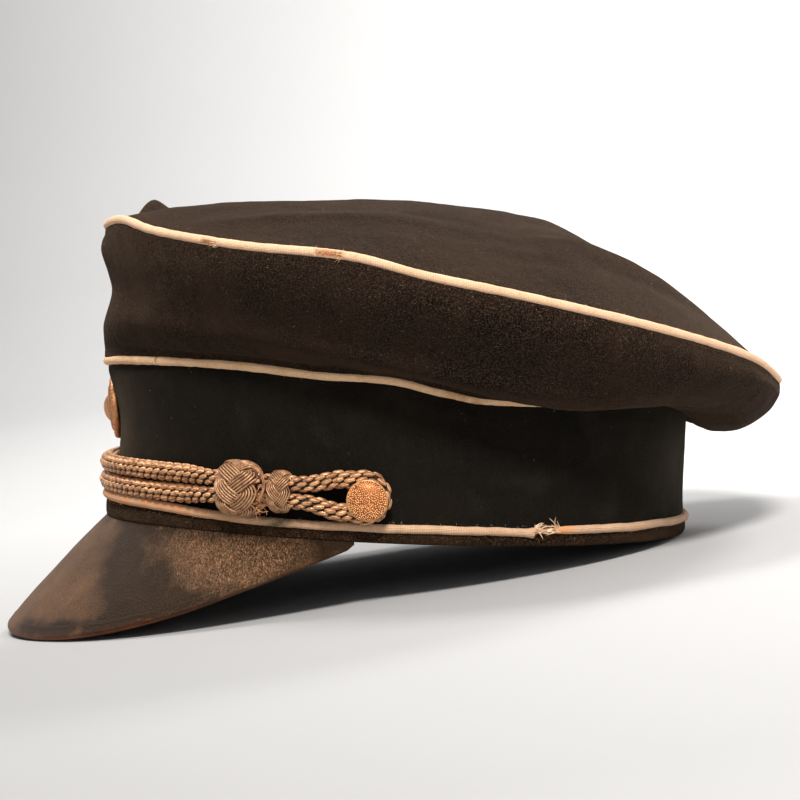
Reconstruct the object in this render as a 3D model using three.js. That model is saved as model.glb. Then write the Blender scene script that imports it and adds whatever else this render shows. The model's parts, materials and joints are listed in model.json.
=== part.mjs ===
// Peaked cap with a soft, crushed crown: it hangs over a stiff band at the sides and the back.
// Sizes are millimetres. The peak points to -Y, the wearer's left side is +X and up is +Z.
// The cap is drawn level, with the underside of the band at height 0, and is tipped at the end
// until it rests on the front edge of the peak and the back of the band.

import * as THREE from "three";
import { mergeVertices } from "three/addons/utils/BufferGeometryUtils.js";

// ---------------------------------------------------------------- sizes

const CLEARANCE = 0.35;
const FULL_TURN = 360;
const STEPS_AROUND = 60;

// Head opening, drawn as an oval that is longer than it is wide.
const OVAL_HALF_LENGTH = 102.5;
const OVAL_HALF_WIDTH = 84.5;

// Band: a stiff wall whose face is pressed in a little, most of all behind the chin cord.
const BAND_WALL = 3;
const BAND_BOTTOM = 7.25;
const BAND_WAIST = { sides: 1.5, front: 3.8 };
const BAND_WAIST_LOW = 12;
const BAND_WAIST_HIGH = 23;

// Welt under the band.
const WELT_HEIGHT = 3.75;
const WELT_OUTER = -0.2;
const WELT_WALL = 2.9;
const WELT_DIP = { deep: 1.7, ends: 58 };

// Pipings: cords covered in cloth and sewn into the seams.
const PIPING_RADIUS = 1.5;
const PIPING_SIDES = 8;
const LOW_PIPING = { reach: -0.4, up: 5.5, radius: 1.4 };
const BAND_PIPING_GAP = { from: 36.8, to: 37.4 };
const LOW_PIPING_GAP = { from: 116.9, to: 121.2 };

// Crown cloth.
const CLOTH = 2;
const CLOTH_SPLIT = 0.11;
const SIDE_SEAMS = [0, 92, 180, 268];
const TOP_CENTRE_Y = 12.8;
const TOP_ROUNDNESS = 2.3;
const TOP_RINGS = [1, 0.95, 0.87, 0.76, 0.62, 0.46, 0.28, 0];

// Peak: a curved sheet of leather.
const PEAK_THICKNESS = 2.2;
const PEAK_BOW = 0.8;
const PEAK_ROWS = 7;
const PEAK_STEP = 4;
const PEAK_INNER_REACH = -0.5;

// Chin cord: one loop of cord, doubled across the front and hooked round both buttons.
const CORD_RADIUS = 2.8;
const CORD_SIDES = 8;
const CORD_RINGS = 124;
const CORD_LOOP = { at: 84.3, up: 15.1, radius: 6.2, off: 4.2 };
const BUTTON_AT = 85;
const BUTTON_UP = 14.5;

// Sliding knots on the cord; along, tall and deep are measured over the knot.
const KNOT_OFF = 6.2;
const KNOT_UP = 15.7;
const KNOT_LEGS_APART = 5.8;
const KNOT_CORD_RADIUS = 2.5;
const LARGE_KNOT = { at: 61, along: 15.4, tall: 19.2, deep: 11.6 };
const SMALL_KNOT = { at: 69.2, along: 8.4, tall: 14.3, deep: 9.2 };
const KNOT_SIDES = 20;

// Buttons, turned: a domed head on a shank.
const BUTTON_RADIUS = 6.8;
const BUTTON_SHANK = 1.6;
const BUTTON_FOOT = 3;
const BUTTON_RIM = 1.1;
const BUTTON_DOME = 2.4;
const BUTTON_SIDES = 28;

// Cockade on the front of the band: a plain ribbed oval.
const COCKADE_UP = 35.8;
const COCKADE_HALF_WIDTH = 9.5;
const COCKADE_HALF_HEIGHT = 11;
const COCKADE_LEAN = 7.5;
const COCKADE_SIDES = 32;
const COCKADE_PROFILE = [
  { share: 0, out: 0 },
  { share: 1, out: 0 },
  { share: 1, out: 1.3 },
  { share: 0.9, out: 2.4 },
  { share: 0.8, out: 1.9 },
  { share: 0.7, out: 3.4 },
  { share: 0.6, out: 3.1 },
  { share: 0.5, out: 4.4 },
  { share: 0.38, out: 4.4 },
  { share: 0.28, out: 5.6 },
  { share: 0, out: 6 },
];

// ---------------------------------------------------------------- tables round the cap
// at: degrees round the oval, 0 at the front, 90 at the wearer's left, 180 at the back.
// Pairs are [reach outward from the oval, height].

// Top seam of the band, which the crown's weight has pushed down at the back.
const BAND_TOP = [
  { at: 0, seam: [1, 52.2] },
  { at: 24, seam: [0.4, 54.2] },
  { at: 45, seam: [-0.4, 55.5] },
  { at: 60, seam: [-0.6, 55.4] },
  { at: 75, seam: [-0.6, 53.9] },
  { at: 88, seam: [-0.6, 53.3] },
  { at: 97, seam: [-0.6, 50.2] },
  { at: 106, seam: [-0.6, 47.8] },
  { at: 140, seam: [-0.8, 47.8] },
  { at: 180, seam: [-1, 47.6] },
  { at: 225, seam: [-0.8, 48] },
  { at: 258, seam: [-0.6, 49.4] },
  { at: 275, seam: [-0.6, 52.8] },
  { at: 300, seam: [-0.6, 55] },
  { at: 330, seam: [0.2, 54.6] },
];

// Side of the crown: rim is the middle of the piping, the other pairs follow the outer face down
// to the seam; wrap is where the hem starts round the band's piping, 90 being on top of it.
const CROWN_SIDE = [
  { at: 0, rim: [0.6, 97.2], belly: [2.8, 91.5], crease: [-0.8, 76], roll: [2.2, 65],
    tuck: [2.4, 59.5], rise: [2, 56], wrap: 55 },
  { at: 22, rim: [8.6, 100.2], belly: [8.6, 91], crease: [5.6, 78], roll: [6, 68],
    tuck: [3.6, 61], rise: [1.8, 58.2], wrap: 60 },
  { at: 34, rim: [12.3, 101.9], belly: [12.5, 90.5], crease: [8.5, 76.6], roll: [7.7, 67.2],
    tuck: [3.8, 60.8], rise: [1.6, 58.7], wrap: 60 },
  { at: 45, rim: [16.3, 98.8], belly: [16.6, 89], crease: [11.8, 75], roll: [9.6, 66.5],
    tuck: [4, 60.6], rise: [1.4, 59], wrap: 60 },
  { at: 65, rim: [23, 95.1], belly: [23.8, 84], crease: [16, 70.5], roll: [13, 64.4],
    tuck: [4.6, 59.2], rise: [1.6, 58.2], wrap: 60 },
  { at: 82, rim: [26.8, 93.1], belly: [28, 80.5], crease: [18.4, 65.6], roll: [15.4, 60.2],
    tuck: [5, 57.2], rise: [2, 56.4], wrap: 55 },
  { at: 93, rim: [28.7, 88], belly: [30.2, 77], crease: [20, 62], roll: [17, 56.4],
    tuck: [5.4, 54.4], rise: [2.4, 54.2], wrap: 50 },
  { at: 105, rim: [30.9, 83.5], belly: [32.2, 73], crease: [23, 58], roll: [18.6, 51.6],
    tuck: [6, 49.6], rise: [2.8, 49.6], wrap: 15 },
  { at: 120, rim: [33.5, 77.3], belly: [34.8, 67], crease: [26.4, 54.2], roll: [19.4, 47.8],
    tuck: [6.2, 46], rise: [2.5, 47.2], wrap: 0 },
  { at: 137, rim: [34.5, 69.9], belly: [35.8, 61.4], crease: [29, 52.4], roll: [20, 48.2],
    tuck: [6, 46.6], rise: [2, 46.9], wrap: 0 },
  { at: 151, rim: [33.2, 63.7], belly: [34.8, 57], crease: [28.8, 50], roll: [19.4, 46.2],
    tuck: [5.4, 45.2], rise: [1.6, 45.9], wrap: 0 },
  { at: 165, rim: [30.9, 56.6], belly: [31.6, 51.8], crease: [28.2, 45.4], roll: [18.4, 38.6],
    tuck: [5, 38.6], rise: [1.5, 42.2], wrap: 0 },
  { at: 180, rim: [28.9, 54.4], belly: [29.8, 50.2], crease: [27.2, 44.4], roll: [17.2, 36.6],
    tuck: [4.6, 36.4], rise: [1.4, 40.4], wrap: 0 },
  { at: 200, rim: [31.4, 58.2], belly: [32.4, 53.4], crease: [28, 45.4], roll: [18.6, 38.4],
    tuck: [5, 38.2], rise: [1.6, 41.8], wrap: 0 },
  { at: 225, rim: [34, 68.6], belly: [35, 61], crease: [27.6, 50.2], roll: [19.4, 44],
    tuck: [6, 43], rise: [2, 45.2], wrap: 0 },
  { at: 245, rim: [32, 79], belly: [33, 69.6], crease: [24.4, 56.6], roll: [18.4, 49.4],
    tuck: [6, 47.2], rise: [2.6, 48.2], wrap: 5 },
  { at: 265, rim: [28.4, 89], belly: [29.6, 77.8], crease: [20, 63], roll: [16, 57],
    tuck: [5.4, 53.6], rise: [2.4, 53.4], wrap: 45 },
  { at: 285, rim: [24.8, 96.4], belly: [25.4, 85], crease: [17, 70.6], roll: [12.8, 64],
    tuck: [4.6, 58.8], rise: [1.8, 57.4], wrap: 60 },
  { at: 305, rim: [19.4, 101], belly: [19.4, 91], crease: [13.2, 76.6], roll: [10.4, 68],
    tuck: [4.2, 61], rise: [1.5, 59], wrap: 60 },
  { at: 326, rim: [11.4, 107.8], belly: [12, 96.4], crease: [8.8, 81], roll: [7.4, 69],
    tuck: [4, 61.4], rise: [1.8, 58.8], wrap: 60 },
  { at: 343, rim: [5, 100.4], belly: [6, 92], crease: [2.4, 78], roll: [4.2, 67],
    tuck: [3.4, 60.4], rise: [2.2, 57.4], wrap: 58 },
];

// Crest of the crown, front to back.
const CREST = [
  { y: -108, up: 97.5 },
  { y: -100, up: 103.4 },
  { y: -86, up: 107.6 },
  { y: -60, up: 110 },
  { y: -18, up: 112 },
  { y: 10, up: 112.1 },
  { y: 38, up: 109.3 },
  { y: 53, up: 106.2 },
  { y: 67, up: 100 },
  { y: 96, up: 85.2 },
  { y: 125, up: 65 },
  { y: 136, up: 54 },
];

// Soft folds on the top: each is a ridge, or a hollow where lift is below 0.
const FOLDS = [
  { x: 70, y: -38, turn: 96, long: 46, wide: 9, lift: 1.6 },
  { x: 46, y: 84, turn: 122, long: 38, wide: 8, lift: 3 },
  { x: 22, y: 62, turn: 126, long: 34, wide: 9, lift: -2.4 },
  { x: -40, y: -62, turn: 70, long: 34, wide: 12, lift: -3 },
  { x: -58, y: 40, turn: 80, long: 40, wide: 12, lift: 2.2 },
  { x: -30, y: 92, turn: 60, long: 26, wide: 9, lift: -2.2 },
];

// Outer edge of the peak, measured from its inner edge.
const PEAK_EDGE = [
  { at: 0, ahead: 34.4, aside: 0, drop: 41.8 },
  { at: 15, ahead: 33.4, aside: 3.6, drop: 41.8 },
  { at: 30, ahead: 30.4, aside: 6, drop: 40.2 },
  { at: 45, ahead: 26.8, aside: 8.2, drop: 35.2 },
  { at: 60, ahead: 20.4, aside: 7.4, drop: 26 },
  { at: 74, ahead: 10, aside: 3.6, drop: 12 },
  { at: 82.5, ahead: 2.6, aside: 0.4, drop: 2.4 },
];

// Chin cord on either side of the front: heights of its two runs, how far its middle stands off
// the band's face, and its radius where the knots squeeze it.
const CORD_RUN = [
  { at: 0, upper: 17.1, lower: 10.8, off: 3.15, radius: 2.95 },
  { at: 20, upper: 17.6, lower: 11, off: 3.15, radius: 2.95 },
  { at: 36, upper: 18.3, lower: 11.5, off: 3.15, radius: 2.95 },
  { at: 48, upper: 18.7, lower: 12, off: 3.6, radius: 2.95 },
  { at: 54.5, upper: 18.6, lower: 12.8, off: 6.2, radius: 2.5 },
  { at: 74, upper: 18.6, lower: 12.8, off: 6.2, radius: 2.5 },
  { at: 77, upper: 19.6, lower: 11.3, off: 5, radius: 2.7 },
  { at: 80, upper: 20.8, lower: 9.6, off: 4.2, radius: 2.8 },
];

// ---------------------------------------------------------------- reading the tables

const { degToRad, radToDeg, lerp } = THREE.MathUtils;

// Smooth value between two rows, with the rows on either side setting the slopes.
function between(before, from, to, after, place) {
  const span = to.key - from.key;
  const share = (place - from.key) / span;
  const slopeFrom = ((to.value - before.value) / (to.key - before.key)) * span;
  const slopeTo = ((after.value - from.value) / (after.key - from.key)) * span;
  const squared = share * share;
  const cubed = squared * share;
  return (
    (2 * cubed - 3 * squared + 1) * from.value +
    (cubed - 2 * squared + share) * slopeFrom +
    (3 * squared - 2 * cubed) * to.value +
    (cubed - squared) * slopeTo
  );
}

// Reads one value of a table whose rows go once round the cap.
function readAround(rows, at, pick) {
  const turn = THREE.MathUtils.euclideanModulo(at, FULL_TURN);
  const index = rows.findLastIndex((row) => row.at <= turn);
  const entry = (step) => {
    const place = index + step;
    const lap = Math.floor(place / rows.length);
    const row = rows[place - lap * rows.length];
    return { key: row.at + lap * FULL_TURN, value: pick(row) };
  };
  return between(entry(-1), entry(0), entry(1), entry(2), turn);
}

// Reads one value of a table that has a first and a last row.
function readAlong(rows, key, place, pick) {
  const last = rows.length - 1;
  const found = rows.findLastIndex((row) => row[key] <= place);
  const index = THREE.MathUtils.clamp(found, 0, last - 1);
  const entry = (step) => {
    const row = rows[THREE.MathUtils.clamp(index + step, 0, last)];
    return { key: row[key], value: pick(row) };
  };
  return between(entry(-1), entry(0), entry(1), entry(2), place);
}

// Straight-line reading, for values that hold still between two equal rows.
function readStraight(rows, key, place, pick) {
  const last = rows.length - 1;
  const found = rows.findLastIndex((row) => row[key] <= place);
  const index = THREE.MathUtils.clamp(found, 0, last - 1);
  const from = rows[index];
  const to = rows[index + 1];
  const share = THREE.MathUtils.clamp((place - from[key]) / (to[key] - from[key]), 0, 1);
  return lerp(pick(from), pick(to), share);
}

// ---------------------------------------------------------------- places on the cap

function outwardAt(at) {
  const angle = degToRad(at);
  const x = Math.sin(angle) / OVAL_HALF_WIDTH;
  const y = -Math.cos(angle) / OVAL_HALF_LENGTH;
  return new THREE.Vector3(x, y, 0).normalize();
}

// Point at an angle round the oval, moved outward by reach and raised to up.
function place(at, reach, up) {
  const angle = degToRad(at);
  const x = OVAL_HALF_WIDTH * Math.sin(angle);
  const y = -OVAL_HALF_LENGTH * Math.cos(angle);
  return new THREE.Vector3(x, y, up).addScaledVector(outwardAt(at), reach);
}

// Degrees round the oval that make one millimetre along it.
function degreesPerMillimetre(at, reach) {
  const step = 0.5;
  const before = place(at - step, reach, 0);
  const after = place(at + step, reach, 0);
  return (2 * step) / before.distanceTo(after);
}

function waistAt(at) {
  const frontness = Math.max(0, Math.cos(degToRad(at))) ** 2;
  return lerp(BAND_WAIST.sides, BAND_WAIST.front, frontness);
}

function seamAt(at) {
  const reach = readAround(BAND_TOP, at, (row) => row.seam[0]);
  const up = readAround(BAND_TOP, at, (row) => row.seam[1]);
  return [reach, up];
}

function sideAt(at, name) {
  const reach = readAround(CROWN_SIDE, at, (row) => row[name][0]);
  const up = readAround(CROWN_SIDE, at, (row) => row[name][1]);
  return [reach, up];
}

// ---------------------------------------------------------------- making bodies

// Closed body through a row of rings, each a loop of the same count of points. The last ring
// joins the first when wraps is set; if not, both ends are closed with a strip.
function loft(rings, wraps) {
  const corners = [];
  const addTriangle = (a, b, c) => {
    const collapsed = a.distanceTo(b) < 1e-6 || b.distanceTo(c) < 1e-6 || c.distanceTo(a) < 1e-6;
    if (!collapsed) {
      corners.push(...a.toArray(), ...b.toArray(), ...c.toArray());
    }
  };
  const addQuad = (a, b, c, d) => {
    addTriangle(a, b, c);
    addTriangle(a, c, d);
  };
  const count = rings[0].length;
  const joins = wraps ? rings.length : rings.length - 1;
  for (let i = 0; i < joins; i += 1) {
    const here = rings[i];
    const next = rings[(i + 1) % rings.length];
    for (let j = 0; j < count; j += 1) {
      const k = (j + 1) % count;
      addQuad(here[j], here[k], next[k], next[j]);
    }
  }
  if (!wraps) {
    const first = rings[0];
    const last = rings[rings.length - 1];
    for (let j = 0; j < count / 2 - 1; j += 1) {
      const far = count - 1 - j;
      addQuad(first[far], first[far - 1], first[j + 1], first[j]);
      addQuad(last[j], last[j + 1], last[far - 1], last[far]);
    }
  }
  return outward(corners);
}

// Turns the faces outward, judged by the volume that they enclose.
function outward(corners) {
  const a = new THREE.Vector3();
  const b = new THREE.Vector3();
  const c = new THREE.Vector3();
  let volume = 0;
  for (let i = 0; i < corners.length; i += 9) {
    a.fromArray(corners, i);
    b.fromArray(corners, i + 3);
    c.fromArray(corners, i + 6);
    volume += a.dot(b.cross(c));
  }
  if (volume < 0) {
    for (let i = 0; i < corners.length; i += 9) {
      const second = corners.slice(i + 3, i + 6);
      const third = corners.slice(i + 6, i + 9);
      corners.splice(i + 3, 6, ...third, ...second);
    }
  }
  const geometry = new THREE.BufferGeometry();
  geometry.setAttribute("position", new THREE.Float32BufferAttribute(corners, 3));
  const merged = mergeVertices(geometry, 1e-4);
  merged.computeVertexNormals();
  return merged;
}

// Angles from one end to the other in even steps of about the usual size.
function anglesBetween(from, to) {
  const steps = Math.max(1, Math.round(((to - from) / FULL_TURN) * STEPS_AROUND));
  return Array.from({ length: steps + 1 }, (_, i) => lerp(from, to, i / steps));
}

function anglesRound() {
  return anglesBetween(0, FULL_TURN).slice(0, -1);
}

// Loop of points in the upright plane at an angle round the oval.
function loopAt(at, pairs) {
  return pairs.map(([reach, up]) => place(at, reach, up));
}

function circlePairs([reach, up], radius, sides) {
  return Array.from({ length: sides }, (_, i) => {
    const angle = (2 * Math.PI * (i + 0.5)) / sides;
    return [reach + radius * Math.cos(angle), up + radius * Math.sin(angle)];
  });
}

// Smooth line through pairs, with as many points between each two as asked.
function smoothPairs(pairs, divisions) {
  const knots = pairs.map(([reach, up]) => new THREE.Vector3(reach, up, 0));
  const curve = new THREE.CatmullRomCurve3(knots, false, "centripetal");
  return curve.getPoints((pairs.length - 1) * divisions).map((point) => [point.x, point.y]);
}

// Gives a line of pairs a thickness on its inner side and returns the closed loop.
function thicken(pairs, thickness) {
  const inner = pairs.map(([reach, up], i) => {
    const before = pairs[Math.max(i - 1, 0)];
    const after = pairs[Math.min(i + 1, pairs.length - 1)];
    const run = after[0] - before[0];
    const fall = after[1] - before[1];
    const size = Math.hypot(run, fall);
    return [reach + (fall / size) * thickness, up - (run / size) * thickness];
  });
  return [...pairs, ...inner.reverse()];
}

// Solid turned round an axis; rows hold the distance along the axis and the two half widths.
function turned(rows, sides, centre, axis, across) {
  const upward = new THREE.Vector3().crossVectors(axis, across).normalize();
  const rings = rows.map(({ out, wide, tall }) =>
    Array.from({ length: sides }, (_, i) => {
      const angle = (2 * Math.PI * i) / sides;
      return centre
        .clone()
        .addScaledVector(axis, out)
        .addScaledVector(across, wide * Math.cos(angle))
        .addScaledVector(upward, tall * Math.sin(angle));
    }),
  );
  return loft(rings, false);
}

// ---------------------------------------------------------------- crown

function foldLift(x, y) {
  return FOLDS.reduce((total, fold) => {
    const turn = degToRad(fold.turn);
    const dx = x - fold.x;
    const dy = y - fold.y;
    const along = (dx * Math.cos(turn) + dy * Math.sin(turn)) / fold.long;
    const across = (dy * Math.cos(turn) - dx * Math.sin(turn)) / fold.wide;
    return total + fold.lift * Math.exp(-along * along - across * across);
  }, 0);
}

// The top falls from its crest to the rim; its edge stops short of the piping.
function crownTop() {
  const centre = new THREE.Vector3(0, TOP_CENTRE_Y, 0);
  const rings = anglesRound().map((at) => {
    const [rimReach, rimUp] = sideAt(at, "rim");
    const edge = place(at, rimReach - PIPING_RADIUS - CLEARANCE, 0);
    const rimDrop = rimUp + CLOTH / 2 - readAlong(CREST, "y", edge.y, (row) => row.up);
    const upper = TOP_RINGS.map((share) => {
      const point = centre.clone().lerp(edge, share);
      const crest = readAlong(CREST, "y", point.y, (row) => row.up);
      const fold = foldLift(point.x, point.y) * (1 - share ** 8);
      point.z = crest + rimDrop * share ** TOP_ROUNDNESS + fold;
      return point;
    });
    const lower = upper.map((point) => point.clone().setZ(point.z - CLOTH));
    return [...upper, ...lower.reverse()];
  });
  return loft(rings, true);
}

// Outer line of the crown's side, from under the rim piping to the hem on the band's piping.
function sideLine(at) {
  const [rimReach, rimUp] = sideAt(at, "rim");
  const [seamReach, seamUp] = seamAt(at);
  const start = [rimReach + CLOTH / 2, rimUp - PIPING_RADIUS - CLEARANCE];
  const folds = ["belly", "crease", "roll", "tuck", "rise"].map((name) => sideAt(at, name));
  const wrapStart = readAround(CROWN_SIDE, at, (row) => row.wrap);
  const hemRadius = PIPING_RADIUS + CLEARANCE;
  const hem = [0, 0.5, 1].map((share) => {
    const angle = degToRad(lerp(wrapStart, 105, share));
    return [seamReach + hemRadius * Math.cos(angle), seamUp + hemRadius * Math.sin(angle)];
  });
  return smoothPairs([start, ...folds, ...hem], 2);
}

function crownPanel(from, to) {
  const angles = anglesBetween(from + CLOTH_SPLIT, to - CLOTH_SPLIT);
  const rings = angles.map((at) => loopAt(at, thicken(sideLine(at), CLOTH)));
  return loft(rings, false);
}

// ---------------------------------------------------------------- band, welt and pipings

function band() {
  const rings = anglesRound().map((at) => {
    const waist = waistAt(at);
    const [seamReach, seamUp] = seamAt(at);
    const face = [
      [seamReach - 0.4, seamUp - PIPING_RADIUS - CLEARANCE],
      [-waist, BAND_WAIST_HIGH],
      [-waist, BAND_WAIST_LOW],
      [-waist * 0.85, BAND_BOTTOM],
    ];
    const back = face.map(([reach, up]) => [reach - BAND_WALL, up]).reverse();
    return loopAt(at, [...face, ...back]);
  });
  return loft(rings, true);
}

// How far the welt's lower edge, and the peak sewn under it, dip at the front.
function weltDip(at) {
  const fromFront = Math.min(at, FULL_TURN - at);
  const nearness = Math.max(0, 1 - (fromFront / WELT_DIP.ends) ** 2);
  return WELT_DIP.deep * nearness * nearness;
}

function welt() {
  const inner = WELT_OUTER - WELT_WALL;
  const rings = anglesRound().map((at) => {
    const low = -weltDip(at);
    const pairs = [
      [WELT_OUTER, WELT_HEIGHT],
      [WELT_OUTER, low],
      [inner, low],
      [inner, WELT_HEIGHT],
    ];
    return loopAt(at, pairs);
  });
  return loft(rings, true);
}

function piping(angles, middleAt, radius, wraps) {
  const rings = angles.map((at) => loopAt(at, circlePairs(middleAt(at), radius, PIPING_SIDES)));
  return loft(rings, wraps);
}

// Angles for a piping whose ends leave a gap.
function anglesPast(gap) {
  return anglesBetween(gap.to, gap.from + FULL_TURN);
}

// ---------------------------------------------------------------- peak

function peak() {
  const last = PEAK_EDGE[PEAK_EDGE.length - 1].at;
  const steps = Math.round(last / PEAK_STEP);
  const rings = [];
  for (let i = -steps; i <= steps; i += 1) {
    const at = (last * i) / steps;
    const side = Math.sign(at);
    const read = (name) => readAlong(PEAK_EDGE, "at", Math.abs(at), (row) => row[name]);
    const dip = weltDip(Math.abs(at));
    const inner = place(at, PEAK_INNER_REACH, -CLEARANCE - dip);
    const slope = new THREE.Vector3(side * read("aside"), -read("ahead"), dip - read("drop"));
    const along = place(at + 1, 0, 0).sub(place(at - 1, 0, 0)).normalize();
    const upward = new THREE.Vector3().crossVectors(along, slope).normalize();
    upward.multiplyScalar(Math.sign(upward.z));
    const depth = slope.length();
    const upper = [];
    for (let j = 0; j <= PEAK_ROWS; j += 1) {
      const share = j / PEAK_ROWS;
      const bow = PEAK_BOW * Math.min(1, depth / 40) * 4 * share * (1 - share);
      upper.push(inner.clone().addScaledVector(slope, share).addScaledVector(upward, bow));
    }
    const lower = upper.map((point) => point.clone().addScaledVector(upward, -PEAK_THICKNESS));
    rings.push([...upper, ...lower.reverse()]);
  }
  return loft(rings, false);
}

// ---------------------------------------------------------------- chin cord, knots and buttons

function cordAt(at, name) {
  return readStraight(CORD_RUN, "at", Math.abs(at), (row) => row[name]);
}

function cordPoint(at, up) {
  return place(at, cordAt(at, "off") - waistAt(at), up);
}

// Points of the loop round the button on one side, from the upper run to the lower.
function cordLoop(side) {
  const turns = [-25, 10, 45, 80, 115, 150, 185, 215];
  const perMillimetre = degreesPerMillimetre(CORD_LOOP.at, CORD_LOOP.off);
  return turns.map((turn) => {
    const along = CORD_LOOP.radius * Math.sin(degToRad(turn));
    const rise = CORD_LOOP.radius * Math.cos(degToRad(turn));
    const at = side * (CORD_LOOP.at + along * perMillimetre);
    return place(at, CORD_LOOP.off - waistAt(at), CORD_LOOP.up + rise);
  });
}

function chinCord() {
  const last = CORD_RUN[CORD_RUN.length - 1].at;
  const stops = [];
  for (let at = 0; at <= last; at += 1.5) {
    stops.push(at);
  }
  const leftward = [...stops.slice(1).map((at) => -at).reverse(), ...stops];
  const upper = leftward.map((at) => cordPoint(at, cordAt(at, "upper")));
  const lower = leftward.map((at) => cordPoint(at, cordAt(at, "lower"))).reverse();
  const path = [...upper, ...cordLoop(1), ...lower, ...cordLoop(-1).reverse()];
  const curve = new THREE.CatmullRomCurve3(path, true, "centripetal");
  const rings = Array.from({ length: CORD_RINGS }, (_, i) => {
    const share = i / CORD_RINGS;
    const middle = curve.getPointAt(share);
    const angle = Math.atan2(middle.x / OVAL_HALF_WIDTH, -middle.y / OVAL_HALF_LENGTH);
    const away = outwardAt(radToDeg(angle));
    const tangent = curve.getTangentAt(share);
    const across = new THREE.Vector3().crossVectors(tangent, away).normalize();
    const radius = cordAt(radToDeg(angle), "radius");
    return circlePairs([0, 0], radius, CORD_SIDES).map(([out, over]) =>
      middle.clone().addScaledVector(away, out).addScaledVector(across, over),
    );
  });
  return loft(rings, true);
}

// Barrel with a long hole for the two runs of cord; it bends with the band.
function knot(size, side) {
  const centre = KNOT_OFF - waistAt(size.at);
  const perMillimetre = degreesPerMillimetre(size.at, centre);
  const hole = KNOT_CORD_RADIUS + CLEARANCE;
  const barrel = [
    { along: -0.5, share: 0.8 },
    { along: -0.3, share: 0.95 },
    { along: 0, share: 1 },
    { along: 0.3, share: 0.95 },
    { along: 0.5, share: 0.8 },
  ];
  const rings = Array.from({ length: KNOT_SIDES }, (_, i) => {
    const angle = (2 * Math.PI * (i + 0.5)) / KNOT_SIDES;
    const cosine = Math.cos(angle);
    const sine = Math.sin(angle);
    const at = (share) => side * (size.at + share * size.along * perMillimetre);
    const holeOut = centre + hole * cosine;
    const holeUp = KNOT_UP + hole * sine + (Math.sign(sine) * KNOT_LEGS_APART) / 2;
    const skin = barrel.map(({ along, share }) =>
      place(
        at(along),
        centre + (size.deep / 2) * cosine * share,
        KNOT_UP + (size.tall / 2) * sine * share,
      ),
    );
    return [place(at(-0.5), holeOut, holeUp), ...skin, place(at(0.5), holeOut, holeUp)];
  });
  return loft(rings, true);
}

function button(side) {
  const axis = outwardAt(side * BUTTON_AT);
  const across = new THREE.Vector3(-axis.y, axis.x, 0);
  const foot = place(side * BUTTON_AT, CLEARANCE - waistAt(BUTTON_AT), BUTTON_UP);
  const head = CORD_LOOP.off + CORD_RADIUS;
  const profile = [
    { out: 0, round: 0 },
    { out: 0, round: BUTTON_FOOT },
    { out: 0.6, round: BUTTON_SHANK },
    { out: head, round: BUTTON_SHANK },
    { out: head, round: BUTTON_RADIUS - 0.5 },
    { out: head + BUTTON_RIM / 2, round: BUTTON_RADIUS },
    { out: head + BUTTON_RIM, round: BUTTON_RADIUS - 0.4 },
    { out: head + BUTTON_RIM + BUTTON_DOME * 0.45, round: BUTTON_RADIUS * 0.8 },
    { out: head + BUTTON_RIM + BUTTON_DOME * 0.85, round: BUTTON_RADIUS * 0.45 },
    { out: head + BUTTON_RIM + BUTTON_DOME, round: 0 },
  ];
  const rows = profile.map(({ out, round }) => ({ out, wide: round, tall: round }));
  return turned(rows, BUTTON_SIDES, foot, axis, across);
}

function cockade() {
  const lean = degToRad(COCKADE_LEAN);
  const axis = new THREE.Vector3(0, -Math.cos(lean), -Math.sin(lean));
  const across = new THREE.Vector3(1, 0, 0);
  const [seamReach, seamUp] = seamAt(0);
  const high = (COCKADE_UP - BAND_WAIST_HIGH) / (seamUp - BAND_WAIST_HIGH);
  const face = lerp(-waistAt(0), seamReach, high);
  const back = place(0, face + CLEARANCE, COCKADE_UP);
  const rows = COCKADE_PROFILE.map(({ share, out }) => ({
    out,
    wide: COCKADE_HALF_WIDTH * share,
    tall: COCKADE_HALF_HEIGHT * share,
  }));
  return turned(rows, COCKADE_SIDES, back, axis, across);
}

// ---------------------------------------------------------------- the cap

const cloth = () => new THREE.MeshStandardMaterial({ color: 0x2b241f, roughness: 0.95 });
const bandCloth = () => new THREE.MeshStandardMaterial({ color: 0x1c1b18, roughness: 0.9 });
const cream = () => new THREE.MeshStandardMaterial({ color: 0xe2cdb0, roughness: 0.9 });
const leather = () => new THREE.MeshStandardMaterial({ color: 0x3a2a20, roughness: 0.5 });
const bullion = () => new THREE.MeshStandardMaterial({ color: 0xa87c55, roughness: 0.55 });
const metal = () =>
  new THREE.MeshStandardMaterial({ color: 0xb58a5c, roughness: 0.4, metalness: 0.8 });

const panelNames = [
  "crown_side_left_front",
  "crown_side_left_back",
  "crown_side_right_back",
  "crown_side_right_front",
];

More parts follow.
